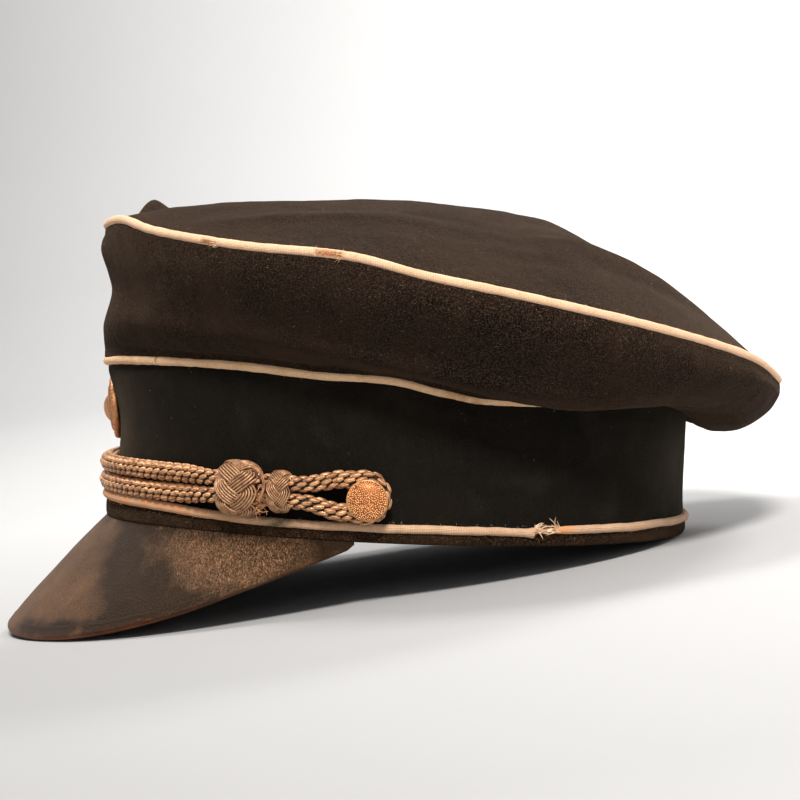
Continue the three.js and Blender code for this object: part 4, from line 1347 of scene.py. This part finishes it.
def band():
    """Stiff wall covered in dense cloth: its edges are hidden by the pipings."""
    at = degrees_round(BAND_STEP)
    waist = waist_at(at)
    seam = seam_at(at)
    still = 0 * at
    face = np.stack(
        [
            np.stack([still - 1.0, still + 5.2], -1),
            np.stack([-waist * 0.85, still + BAND_BOTTOM + 1], -1),
            np.stack([-waist, still + WAIST_LOW], -1),
            np.stack([-waist, waist_high_at(at)], -1),
            seam + (-0.4, -2.6),
            seam + (-0.7, -0.5),
        ],
        -2,
    )
    lines = rounded(face, (5, 6, 12, 26, 4))
    rows = lines.shape[1]
    inner = lines[:, ::-1] - (BAND_WALL, 0)
    inner[..., 0] = np.minimum(inner[..., 0], (-waist - BAND_WALL + 0.4)[:, None])
    rings = loops_at(at, np.concatenate([lines, inner], 1))
    normal = ring_normals(rings, True)[:, :rows]
    outer = rings[:, :rows]
    up = lines[..., 1]
    side = at[:, None] + 0 * up
    free = ease(6.5, 9, up) * ease(0, 4, seam[:, 1:] - up)
    lift = 0.28 * lumps(outer, 22, 51, 2) + 0.1 * lumps(outer, 6, 53, 2)
    for fold_at, long, fold_up, slope in zip(*BAND_FOLDS.values()):
        beside = angle_gap(side, fold_at)
        lift += 0.55 * bump(beside, long) * bump(up - fold_up - slope * beside, 1.5)
    for dent_at, dent_up in zip(*BAND_DENTS.values()):
        lift -= 0.6 * bump(angle_gap(side, dent_at), 7) * bump(up - dent_up, 11)
    rings[:, :rows] += normal * (free * lift)[..., None]
    marks = np.zeros(rings.shape[:2])
    # A paler streak towards the back of the band, at mid height.
    streak = bump(angle_gap(side, 160), 16) * bump(up - 26, 16) * 0.6
    speckled = 0.15 * ease(0.15, 0.7, lumps(outer, 15, 57, 3))
    marks[:, :rows] = np.clip(streak + speckled * free, 0, 1)
    piece = body("band_cloth_wall", rings, True, BAND_CLOTH, {"rub": marks})
    settle(piece, "band_cloth", "band")
    return rings[:, :rows]


def welt():
    """Rolled cloth edge under the band, rubbed brown at the front."""
    at = degrees_round(BAND_STEP)
    angle = 2 * np.pi * np.arange(WELT_SIDES) / WELT_SIDES
    corner = lambda value: np.sign(value) * np.abs(value) ** WELT_SQUARENESS
    reach = WELT_MIDDLE + WELT_HALF_WALL * corner(np.cos(angle))
    up = WELT_HALF_HEIGHT + WELT_HALF_HEIGHT * corner(np.sin(angle))
    loop = np.stack([reach, up], -1)
    loop = np.broadcast_to(loop, (len(at), *loop.shape)).copy()
    loop[..., 1] -= welt_dip(at)[:, None] * (1 - loop[..., 1] / (2 * WELT_HALF_HEIGHT))
    rings = loops_at(at, loop)
    normal = ring_normals(rings, True)
    lift = 0.2 * lumps(rings, 2.2, 61, 3) + 0.16 * lumps(rings, 12, 63, 2)
    held = ease(0.0, 1.4, loop[..., 1] + welt_dip(at)[:, None])
    rings += normal * (lift * held)[..., None]
    front = np.maximum(bump(angle_gap(at, 16), 22), 0.8 * bump(angle_gap(at, -20), 24))[:, None]
    rub = front * (0.12 + 1.3 * ease(-0.1, 0.6, lumps(rings, 4, 65, 3)))
    rub += 0.3 * ease(0.1, 0.6, lumps(rings, 9, 67, 2))
    piece = body("bottom_welt_roll", rings, True, WELT_CLOTH, {"rub": np.clip(rub, 0, 1)})
    return settle(piece, "band_cloth", "bottom_welt")


# ---------------------------------------------------------------- peak

PEAK_ROWS = 56
PEAK_CROWDING = 1.3
PEAK_LINE = 4.4
FOLD_AT = 31
FOLD_FAN = 30
FOLD_FAN_LESS = 6


def peak():
    """Bowed leather sheet: a raised line follows its edge, which is rounded and worn."""
    at = degrees_between(-PEAK_LAST, PEAK_LAST, 0.75)
    read = lambda name: smooth_through(PEAK_EDGE["at"], PEAK_EDGE[name], np.abs(at))
    side = np.sign(at)
    dip = welt_dip(at)
    slope = np.stack([side * read("aside"), -read("ahead"), dip - read("drop")], -1)
    depth = np.linalg.norm(slope, axis=-1)
    inner = place(at, PEAK_INNER_REACH, 0.1 - dip)
    inner_low = place(at, PEAK_INNER_REACH, -0.35 - dip)
    along = place(at + 1, 0, 0) - place(at - 1, 0, 0)
    upward = np.cross(along, slope)
    upward *= np.sign(upward[:, 2:]) / np.linalg.norm(upward, axis=-1, keepdims=True)
    share = 1 - np.linspace(1, 0, PEAK_ROWS) ** PEAK_CROWDING
    bow = PEAK_BOW * np.minimum(1, depth / 40)[:, None] * 4 * share * (1 - share)
    level_line = inner_low[:, None] + slope[:, None] * share[None, :, None]
    level_line = level_line + upward[:, None] * bow[..., None]
    level_line[:, 0] = inner
    to_edge = (1 - share)[None, :] * depth[:, None]
    half = PEAK_THICKNESS / 2
    rounding = np.sqrt(np.clip(1 - np.clip(1 - to_edge / half, 0, 1) ** 2, 0, 1))
    middle = level_line - upward[:, None] * half
    side_of = at[:, None] + 0 * to_edge
    across = share[None, :] * depth[:, None]
    per_degree = 1 / degrees_per_mm(40, -5)
    border = 0.12 * bump(to_edge - PEAK_LINE, 0.45) - 0.08 * bump(to_edge - PEAK_LINE - 1, 0.5)
    creased = np.zeros_like(to_edge)
    for crease_at, crease_share, *shape in zip(*PEAK_CREASES.values()):
        beside = angle_gap(side_of, crease_at) * per_degree
        beyond = across - crease_share * depth[:, None]
        creased += fold_height(beside, beyond, *shape)
    top = middle + upward[:, None] * (half * rounding)[..., None]
    uneven = 0.3 * lumps(top, 26, 71, 2) + 0.07 * lumps(top, 5, 73, 2)
    free = ease(0, 3, across) * ease(0, 1.5, to_edge)
    top += upward[:, None] * (free * (uneven + border + creased))[..., None]
    under = middle - upward[:, None] * (half * rounding + free * 0.1 * lumps(middle, 12, 75, 2))[..., None]
    rings = np.concatenate([top, under[:, ::-1]], 1)
    both_ways = lambda values: np.concatenate([values, 0.4 * values[:, ::-1]], 1)
    worn = np.exp(-to_edge / 0.7) * (0.6 + 0.5 * lumps(top, 4, 77, 2))
    worn = worn + 0.5 * ease(0.1, 0.2, np.abs(creased))
    aside = np.abs(side_of)
    from_fold = aside - FOLD_AT - (FOLD_FAN - FOLD_FAN_LESS * (side_of < 0)) * share[None, :]
    crazed = 0.15 + 0.85 * ease(-6, 7, from_fold + 4 * lumps(top, 12, 81, 2))
    crazed *= 1 - 0.6 * ease(70, 80, aside)
    # Painted highlight, varied at random: paler leather at the front and in a broad patch towards the back,
    # where the light is caught.
    fade = 0.36 * (1 - ease(-14, -3, from_fold))
    fade = fade + bump(from_fold - 17, 10) * ease(0, 0.25, share)[None, :]
    fade *= 0.8 + 0.5 * lumps(top, 10, 79, 3)
    shadow = 1.5 * bump(from_fold + 1, 10) * ease(-0.3, 0.25, share)[None, :]
    shadow += 0.55 * bump(across, 2.6) + 0.85 * ease(71, 80, aside)
    shadow += 1.3 * bump(to_edge - 3.6, 4.4) * ease(10, 26, aside) * (1 - ease(54, 64, aside))
    shadow *= 1 + 0.7 * lumps(top, 7, 83, 3)
    marks = {"edge": worn, "fade": fade, "shadow": shadow, "grain": crazed}
    marks = {name: both_ways(np.clip(values, 0, 1)) for name, values in marks.items()}
    piece = body("peak_leather_sheet", rings, False, PEAK_LEATHER, marks)
    return settle(piece, "peak_leather", "peak")


# ---------------------------------------------------------------- chin cord


def cord_at(at, name):
    return np.interp(np.abs(at), CORD_RUN["at"], CORD_RUN[name])


def cord_route():
    """Middle of the cord: both runs across the front and the loops round the buttons."""
    stops = np.arange(0, CORD_RUN["at"][-1] + 0.01, 1.5)
    leftward = np.concatenate([-stops[:0:-1], stops])
    off = cord_at(leftward, "off") - waist_at(leftward)
    upper = place(leftward, off, cord_at(leftward, "upper"))
    lower = place(leftward, off, cord_at(leftward, "lower"))[::-1]
    turns = np.radians([-25, 10, 45, 80, 115, 150, 185, 215])
    spread = CORD_LOOP_RADIUS * np.sin(turns) * degrees_per_mm(CORD_LOOP_AT, CORD_LOOP_OFF)
    rise = CORD_LOOP_UP + CORD_LOOP_RADIUS * np.cos(turns)
    loops = []
    for side in (1, -1):
        at = side * (CORD_LOOP_AT + spread)
        loops.append(place(at, CORD_LOOP_OFF - waist_at(at), rise))
    path = np.concatenate([upper, loops[0], lower, loops[1][::-1]])
    return rounded(path, [6] * len(path), closed=True)


LINK_LONG = 3.9
LINK_ROWS = 8
LINK_HALF_WIDTH = 0.84
LINK_HALF_DEPTH = 0.72
LINK_GAP = 0.12
LINK_TILT = 0.24
LINKS_SUNK = 0.6
CORE_SUNK = 1.0
BRAID_SWELL = 0.15


def chin_cord():
    """Round braid of wire-covered links on a core painted nearly black, as shade between the links."""
    line = cord_route()
    length = np.linalg.norm(np.roll(line, -1, 0) - line, axis=1).sum()
    count = 2 * round(length / LINK_LONG)
    middle = evenly(line, count)
    at = np.degrees(np.arctan2(middle[:, 0] / OVAL_HALF_WIDTH, -middle[:, 1] / OVAL_HALF_LENGTH))
    run = np.roll(middle, -1, 0) - np.roll(middle, 1, 0)
    run /= np.linalg.norm(run, axis=1, keepdims=True)
    away = outward(at)
    across = np.cross(run, away)
    across /= np.linalg.norm(across, axis=1, keepdims=True)
    away = np.cross(across, run)
    radius = cord_at(at, "radius") + BRAID_SWELL
    angle = 2 * np.pi * np.arange(LINK_ROWS) / LINK_ROWS
    spoke = (
        away[:, None] * np.cos(angle)[None, :, None] + across[:, None] * np.sin(angle)[None, :, None]
    )
    tube = lambda name, sunk: body(
        name, middle[:, None] + spoke * (radius - sunk)[:, None, None], True, SHADED_CORD_CORE
    )
    settle(tube("chin_cord_core", CORE_SUNK), "bullion")
    base = tube("braid_base", LINKS_SUNK)
    turn = np.array(TIP)
    vectors = {"run": (run[:, None] + 0 * spoke) @ turn.T, "away": spoke @ turn.T}
    for name, values in vectors.items():
        keep_values(base.data, name, values, "FLOAT_VECTOR")
    ring, row = np.meshgrid(np.arange(count), np.arange(LINK_ROWS), indexing="ij")
    keep_values(base.data, "stagger", (ring + row) % 2 == 0, "BOOLEAN")
    keep_values(base.data, "size", np.repeat(radius / CORD_RADIUS, LINK_ROWS))
    half = LINK_LONG / 2 - LINK_GAP
    shape = ((-1, 0.16), (-0.88, 0.55), (-0.55, 0.9), (0, 1), (0.55, 0.9), (0.88, 0.55), (1, 0.16))
    rows = [(half * along, LINK_HALF_WIDTH * wide, LINK_HALF_DEPTH * wide) for along, wide in shape]
    link = turned_shape("braid_link", rows, 8)
    links = grown("chin_cord_links", base, LINKS, Link=link, Tilt=LINK_TILT, Seed=4, Material=CORD_BULLION)
    bpy.data.objects.remove(link)
    settle(links, "bullion", "chin_cord")
    return length


# ---------------------------------------------------------------- knots


def knot_place(size, side, along, angle, sunk):
    """Point on a knot's barrel: along it, round it, and sunk below its skin."""
    share = along / size["along"]
    swell = 1 - 0.55 * share**2 - share**4
    centre = KNOT_OFF - waist_at(size["at"])
    at = side * (size["at"] + along * degrees_per_mm(size["at"], centre))
    out_by = centre + (size["deep"] / 2 * swell - sunk) * np.cos(angle)
    up = KNOT_UP + (size["tall"] / 2 * swell - sunk) * np.sin(angle)
    return place(at, out_by, up)


KNOT_SAMPLES = 150
KNOT_TURNED = 0.35
KNOT_WIRE_SHARE = 0.43
CORE_SIDES = 40
CORE_ENDS = [6.5, 3.4]
KNOT_PHASES = {"left": (0.65, 0.36), "right": (1.3, 1.0)}


def knot(name, size, side, phase):
    """Three-part plait closed into a ring round both runs of the cord, each part a flat row of
    wires that passes over and under the others."""
    wires, wire, bights = size["wires"], size["wire"], size["bights"]
    swing = (size["along"] - wires * wire) / 2
    mean_radius = (size["tall"] + size["deep"]) / 4
    angle = np.linspace(0, 6 * np.pi, KNOT_SAMPLES * bights, endpoint=False)
    swings = bights * angle / 3 + phase
    weave = np.sin(2 * swings)
    sunk = wire * (1.0 - 0.6 * weave * (1.5 - 0.5 * weave**2))
    slope = swing * bights / 3 * np.cos(swings)
    stretch = np.hypot(slope, mean_radius)
    lines = []
    for k in range(wires):
        offset = (k - (wires - 1) / 2) * wire
        along = swing * np.sin(swings) + offset * mean_radius / stretch
        turned = angle - offset * slope / stretch / mean_radius
        rolled = wire * 1.3 * np.abs(2 * along / size["along"]) ** 6
        lines.append(knot_place(size, side, along, turned + KNOT_TURNED, sunk + rolled))
    base = line_base("knot_lines", lines, closed=True)
    thick = KNOT_WIRE_SHARE * wire * MM
    piece = grown(f"{name}_wires", base, WIRES, Radius=thick, Sides=8, Seed=2, Material=KNOT_BULLION)
    settle(piece, "bullion", name)
    angle = 2 * np.pi * np.arange(CORE_SIDES) / CORE_SIDES
    along = np.linspace(-0.47, 0.47, 15) * size["along"]
    deep = np.concatenate([CORE_ENDS, np.full(11, wire * 2.3), CORE_ENDS[::-1]])
    skin = np.stack([knot_place(size, side, step, angle, sunk) for step, sunk in zip(along, deep)])
    middle = skin.mean(1, keepdims=True)
    closed_ends = np.concatenate([middle[:1] + 0 * skin[:1], skin, middle[-1:] + 0 * skin[:1]])
    # Dark core under the knot's wires: painted shade for the gaps between them.
    core = body(f"{name}_core", closed_ends, False, SHADED_CORD_CORE, merge=True)
    settle(core, "bullion")


def knots():
    for side, word in ((1, "left"), (-1, "right")):
        large_phase, small_phase = KNOT_PHASES[word]
        knot(f"large_knot_{word}", LARGE_KNOT, side, large_phase)
        knot(f"small_knot_{word}", SMALL_KNOT, side, small_phase)


# ---------------------------------------------------------------- buttons and cockade


def turned_body(name, rows, sides, centre, axis, surface, squash=1.0, flute=None, marks=None):
    """Body turned round an axis: rows are (height, radius), and flute adds to the height."""
    axis = np.array(Vector(axis).normalized())
    across = np.cross((0, 0, 1), axis)
    across /= np.linalg.norm(across)
    upward = np.cross(axis, across)
    angle = 2 * np.pi * np.arange(sides) / sides
    rings = []
    for k, (height, radius) in enumerate(rows):
        lift = height + (flute(k, angle) if flute else 0 * angle)
        rings.append(
            centre
            + axis * lift[:, None]
            + across * (radius * squash * np.cos(angle))[:, None]
            + upward * (radius * np.sin(angle))[:, None]
        )
    return body(name, np.array(rings), False, surface, marks, merge=True)


def dome(radius, height, rows):
    """Rows of a dome from its rim to its middle."""
    turns = np.linspace(0, math.pi / 2, rows)
    return [(height * math.sin(turn), radius * math.cos(turn)) for turn in turns]


BUTTON_SIDES = 72
BUTTON_STAND_OFF = 0.35
BUTTON_SHANK = 1.6
BUTTON_DOME = 2.3
BUTTON_FACE_IN = 0.42
BUTTON_FACE_UP = 0.95
PEBBLE_ROWS = ((-0.1, 0.3), (0.04, 0.31), (0.22, 0.22), (0.3, 0.07))
PEBBLE_SPACING = 0.56
PEBBLE_DENSITY = 4.2e7


def button_face(head, rim, rows):
    """Rows of the domed face, closed at its middle."""
    swell = dome(rim - BUTTON_FACE_IN, BUTTON_DOME, rows)
    face = [(head + BUTTON_FACE_UP + up, radius) for up, radius in swell]
    return face[:-1] + [(face[-1][0], 0)]


def button(side, word):
    """Gently domed head on a shank; a dense pebbled grain fills the face inside a plain rim."""
    foot = place(side * BUTTON_AT, BUTTON_STAND_OFF - waist_at(BUTTON_AT), BUTTON_UP)
    axis = outward(side * BUTTON_AT)
    head = CORD_LOOP_OFF + CORD_RADIUS
    rim = BUTTON_RADIUS
    edge = [(head, rim - 0.5), (head + 0.1, rim - 0.2), (head + 0.4, rim), (head + 0.8, rim),
            (head + 1.0, rim - 0.12), (head + 1.04, rim - 0.26), (head + 0.95, rim - 0.38)]
    shank = [(0, 0), (0, 3), (0.6, BUTTON_SHANK), (head, BUTTON_SHANK)]
    rows = [*shank, *edge, *button_face(head, rim, 18)]
    pitted = np.zeros((len(rows), BUTTON_SIDES))
    pitted[len(shank) + len(edge) :] = 1
    marks = {"hollow": pitted}
    piece = turned_body(f"button_{word}_head", rows, BUTTON_SIDES, foot, axis, BUTTON_METAL, marks=marks)
    settle(piece, "button_metal", f"button_{word}")
    rows = [(head + 0.4, 0), (head + 0.4, rim - 1.2), *button_face(head, rim, 12)]
    base = turned_body("pebble_base", rows, 48, foot, axis, BUTTON_METAL)
    spots = (np.array([vertex.co for vertex in base.data.vertices]) - to_row(foot)) / MM
    heights = spots @ np.array(TIP @ Vector(axis))
    keep_values(base.data, "cover", heights > head + 1.0)
    grain = turned_shape("pebble", [(along, wide, wide) for along, wide in PEBBLE_ROWS], 8)
    grain.data.transform(Matrix.Rotation(-math.pi / 2, 4, "Y"))
    pebbles = grown(
        f"button_{word}_grain", base, SCATTER, Shape=grain, Spacing=PEBBLE_SPACING * MM,
        Density=PEBBLE_DENSITY, Lean=0.2, Smallest=0.8, Largest=1.15, Seed=5, Material=BUTTON_METAL,
    )
    bpy.data.objects.remove(grain)
    settle(pebbles, "button_metal")


COCKADE_SIDES = 360
ROPE_STRANDS = 46
RIBS = 60


def cockade():
    """Plain ribbed oval: a roped rim, a ring of fine ribs and a smooth boss."""
    lean = math.radians(COCKADE_LEAN)
    axis = np.array([0, -math.cos(lean), -math.sin(lean)])
    seam = seam_at(np.array([0.0]))[0]
    high_waist = WAIST_HIGH + WAIST_RISE
    high = (COCKADE_UP - high_waist) / (seam[1] - high_waist)
    face = -WAIST_FRONT + (seam[0] + WAIST_FRONT) * high
    back = place(0, face + 0.1, COCKADE_UP)
    radius = COCKADE_HALF_HEIGHT
    profile = [(0, 0), (0, 0.96)]
    arc = lambda up, rise, out_to, swing, turns: [
        (up + rise * math.sin(turn), out_to + swing * math.cos(turn)) for turn in turns
    ]
    profile += [
        (0.95 - 0.95 * math.cos(turn), 0.965 + 0.035 * math.sin(turn)) for turn in np.linspace(0.4, 1.5, 4)
    ]
    rope = arc(1.0, 0.95, 0.93, 0.07, np.linspace(0.0, math.pi, 11))
    ring = [(1.1 + 1.5 * math.sin(turn * math.pi), 0.855 - 0.35 * turn) for turn in np.linspace(0, 1, 16)]
    boss = arc(1.3, 3.4, 0, 0.5, np.linspace(0, math.pi / 2, 18))
    rows = [(height * COCKADE_DEPTH, share * radius) for height, share in profile + rope + ring + boss]
    rows[-1] = (rows[-1][0], 0)
    first_rope, first_ring, first_boss = len(profile), len(profile + rope), len(profile + rope + ring)

    def flute(k, angle):
        if first_rope < k < first_ring - 1:
            return 0.22 * np.sin(ROPE_STRANDS * angle + 0.5 * (k - first_rope))
        if first_ring < k < first_boss - 1:
            return 0.2 * math.sin(math.pi * (k - first_ring) / 15) * np.sin(RIBS * angle)
        return 0 * angle

    hollow = np.zeros((len(rows), COCKADE_SIDES))
    for k in (first_ring, first_ring + 1, first_boss - 1, first_boss, first_boss + 1):
        hollow[k] = 0.8
    angle = 2 * np.pi * np.arange(COCKADE_SIDES) / COCKADE_SIDES
    for k in range(first_ring + 2, first_boss - 1):
        hollow[k] = 0.5 * (1 - np.sin(RIBS * angle)) / 2
    piece = turned_body(
        "front_cockade_oval", rows, COCKADE_SIDES, back, axis, COCKADE_METAL,
        squash=COCKADE_HALF_WIDTH / COCKADE_HALF_HEIGHT, flute=flute, marks={"hollow": hollow},
    )
    settle(piece, "cockade_metal", "front_cockade")


# ---------------------------------------------------------------- loose threads and lint


def curl(start, aim, length, bend, seed, steps=9):
    """A thread that leaves its start towards aim and bends at random."""
    draw = random.Random(seed)
    direction = Vector(aim).normalized()
    turn = Vector([draw.uniform(-1, 1) for _ in range(3)])
    spot = Vector(start)
    points = [tuple(spot)]
    for _ in range(steps):
        direction = direction + turn * bend / steps
        direction = direction + Vector([draw.uniform(-0.12, 0.12) for _ in range(3)])
        direction.normalize()
        spot = spot + direction * length / steps
        points.append(tuple(spot))
    return np.array(points)


def tapered(count):
    return [max(0.25, math.sqrt(max(0.0, 1 - (i / (count - 1)) ** 3))) for i in range(count)]


def tangent_at(at):
    step = place(at + 0.5, 0, 0) - place(at - 0.5, 0, 0)
    return step / np.linalg.norm(step)


FRAYED_THREADS = 46
CROSSING_THREADS = 7
TORN_THREADS = 34
FUZZ_HAIRS = 2600
FRAYED_WIRES = {1: 44, -1: 26}
LINT_HAIRS = 520


def frayed_ends():
    """Threads between and beyond the two broken ends of the lower piping."""
    draw = random.Random(19)
    first, last = LOW_PIPING_GAP
    for k in range(FRAYED_THREADS):
        at = draw.choice((first, first, last, draw.uniform(first, last + 3)))
        leaning = 1 if at < (first + last) / 2 else -1
        angle = draw.uniform(-1.2, 1.7)
        off = draw.uniform(0.2, 1.0) * LOW_PIPING_RADIUS
        start = place(at, LOW_PIPING_REACH + off * math.cos(angle), LOW_PIPING_UP + off * math.sin(angle))
        aim = tangent_at(at) * leaning * draw.uniform(0.4, 1.4)
        aim = aim + outward(at) * draw.uniform(0.0, 0.35) + np.array([0, 0, draw.uniform(-0.2, 0.75)])
        line = curl(start, aim, draw.uniform(1.8, 5.2), draw.uniform(0.2, 1.6), k)
        yield line, [draw.uniform(0.7, 1.4) * share for share in tapered(len(line))]
    for k in range(CROSSING_THREADS):
        middle = np.linspace(first - 0.3, last + 0.4, 12)
        sway = 0.35 * np.sin(np.linspace(0, 3 + k, 12) + k)
        height = LOW_PIPING_UP + draw.uniform(-0.9, 0.9) + sway
        line = place(middle, LOW_PIPING_REACH + draw.uniform(0.1, 1.2) + 0 * sway, height)
        yield line, [draw.uniform(1.0, 1.8)] * 12


def torn_edges():
    """Ragged threads round the torn places of the crown's piping."""
    draw = random.Random(29)
    for tear_at, half, open_share, facing, wide in zip(*TEARS.values()):
        for k in range(round(TORN_THREADS * open_share)):
            at = tear_at + half * draw.choice((-1, 1)) * draw.uniform(0.6, 1.25)
            rim = pair_around(CROWN_SIDE, "rim", np.array([at]))[0]
            angle = math.radians(facing + draw.uniform(-1.2, 1.2) * wide)
            start = place(at, rim[0] + 1.5 * math.cos(angle), rim[1] + 1.5 * math.sin(angle))
            spread = np.array([0, 0, math.sin(angle)]) + outward(at) * math.cos(angle)
            aim = tangent_at(at) * np.sign(tear_at - at) * draw.uniform(0.2, 1)
            aim = aim + spread * draw.uniform(0.1, 0.7)
            line = curl(start, aim, draw.uniform(0.6, 2.2), draw.uniform(0.2, 1.4), 100 + k, 6)
            yield line, [draw.uniform(0.5, 1.0) * share for share in tapered(len(line))]


def piping_fuzz():
    """Short hairs that stand off all three pipings."""
    draw = random.Random(39)
    for k in range(FUZZ_HAIRS):
        which = draw.random()
        at = draw.uniform(0, FULL_TURN)
        spot = np.array([at])
        if which < 0.5:
            middle, radius = pair_around(CROWN_SIDE, "rim", spot)[0], PIPING_RADIUS
        elif which < 0.75:
            middle, radius = seam_at(spot)[0], PIPING_RADIUS
        else:
            middle, radius = np.array([LOW_PIPING_REACH, LOW_PIPING_UP]), LOW_PIPING_RADIUS
        angle = draw.uniform(-1.5, 1.7)
        ray = np.array([0, 0, math.sin(angle)]) + outward(at) * math.cos(angle)
        start = place(at, middle[0], middle[1]) + ray * radius * 0.97
        aim = ray + tangent_at(at) * draw.uniform(-1.6, 1.6)
        line = curl(start, aim, draw.uniform(0.25, 0.85), draw.uniform(0.4, 1.8), 1000 + k, 3)
        yield line, [1.0, 0.9, 0.75, 0.5]


def bullion_frays():
    """Broken wires between the knots, and the loose wires that arch past the larger one."""
    draw = random.Random(49)
    for side in (1, -1):
        centre = KNOT_OFF - waist_at(LARGE_KNOT["at"])
        per_mm = degrees_per_mm(LARGE_KNOT["at"], centre)
        for k in range(FRAYED_WIRES[side]):
            along = draw.uniform(6.6, 9.2)
            up = KNOT_UP + draw.uniform(-7.5, -0.5)
            at = side * (LARGE_KNOT["at"] + along * per_mm)
            start = place(at, centre + draw.uniform(0.6, 2.8), up)
            aim = tangent_at(at) * side * draw.uniform(0.4, 1.4) + np.array([0, 0, draw.uniform(-1.0, 0.7)])
            aim = aim + outward(at) * draw.uniform(0, 0.5)
            line = curl(start, aim, draw.uniform(1.6, 4), draw.uniform(0.5, 2.4), 200 + k, 8)
            yield line, [0.8 * share for share in tapered(len(line))]
        for k in range(2):
            arch = np.array([(5.8, 8.0), (7.6, 7.4), (9.5, 5.2), (10.5, 2.6), (10.3, 0.2), (9.6, -1.8)])
            arch = rounded(arch - (0.42 * k, 0.3 * k), [5] * 5)
            at = side * (LARGE_KNOT["at"] + arch[:, 0] * per_mm)
            line = place(at, centre + np.linspace(3.2, 4.4, len(arch)), KNOT_UP + arch[:, 1])
            yield line, [1.0] * len(line)


def lint():
    """Hairs and motes caught on the wool and the band cloth."""
    draw = random.Random(59)
    for k in range(LINT_HAIRS):
        at = draw.uniform(0, FULL_TURN)
        spot = np.array([at])
        where = draw.random()
        if where < 0.3:
            share = math.sqrt(draw.random())
            line_start = TOP_GRID[round(at) % len(TOP_GRID), 2 + round((1 - share) * 80)]
            ray = np.array([0, 0, 1.0])
        elif where < 0.75:
            line = side_lines(spot)[0]
            row = min(len(line) - 12, 2 + int(abs(draw.gauss(0, 14))))
            line_start = place(at, line[row, 0] + 0.35, line[row, 1])
            ray = outward(at)
        else:
            face = BAND_FACE[round(at / BAND_STEP) % len(BAND_FACE)]
            line_start = face[draw.randrange(8, len(face) - 4)]
            ray = outward(at)
        aim = np.array([draw.gauss(0, 1) for _ in range(3)])
        aim = aim - ray * (aim @ ray) * 0.8
        line = curl(line_start + ray * 0.1, aim, draw.uniform(0.25, 1.1), draw.uniform(0.3, 1.6), 3000 + k, 4)
        yield line, [draw.choice((0.8, 1.0, 1.5))] * len(line)


def threads(name, grower, radius, sides, surface, slot):
    lines, girths = zip(*grower())
    base = line_base(f"{name}_lines", lines, girths=girths)
    piece = grown(name, base, WIRES, Radius=radius * MM, Sides=sides, Seed=1, Material=surface)
    return settle(piece, slot)


# ---------------------------------------------------------------- the cap

TOP_GRID = crown_top()
for number, panel in enumerate(("left_front", "left_back", "right_back", "right_front")):
    crown_panel(f"crown_side_{panel}", SIDE_SEAMS[number], SIDE_SEAMS[number + 1], 11 + number)
pipings()
BAND_FACE = band()
welt()
peak()
chin_cord()
knots()
button(1, "left")
button(-1, "right")
cockade()
threads("frayed_piping_threads", frayed_ends, 0.13, 6, CREAM_THREAD, "piping_wool")
threads("torn_piping_threads", torn_edges, 0.07, 5, CREAM_THREAD, "piping_wool")
threads("piping_fuzz", piping_fuzz, 0.028, 3, CREAM_THREAD, "piping_wool")
threads("bullion_frays", bullion_frays, 0.3, 6, CORD_BULLION, "bullion")
threads("cloth_lint", lint, 0.026, 3, LINT_THREAD, "crown_wool")

size_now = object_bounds()
boxes = {"cad": [list(corner) for corner in cad_box], "visual": [list(corner) for corner in size_now]}
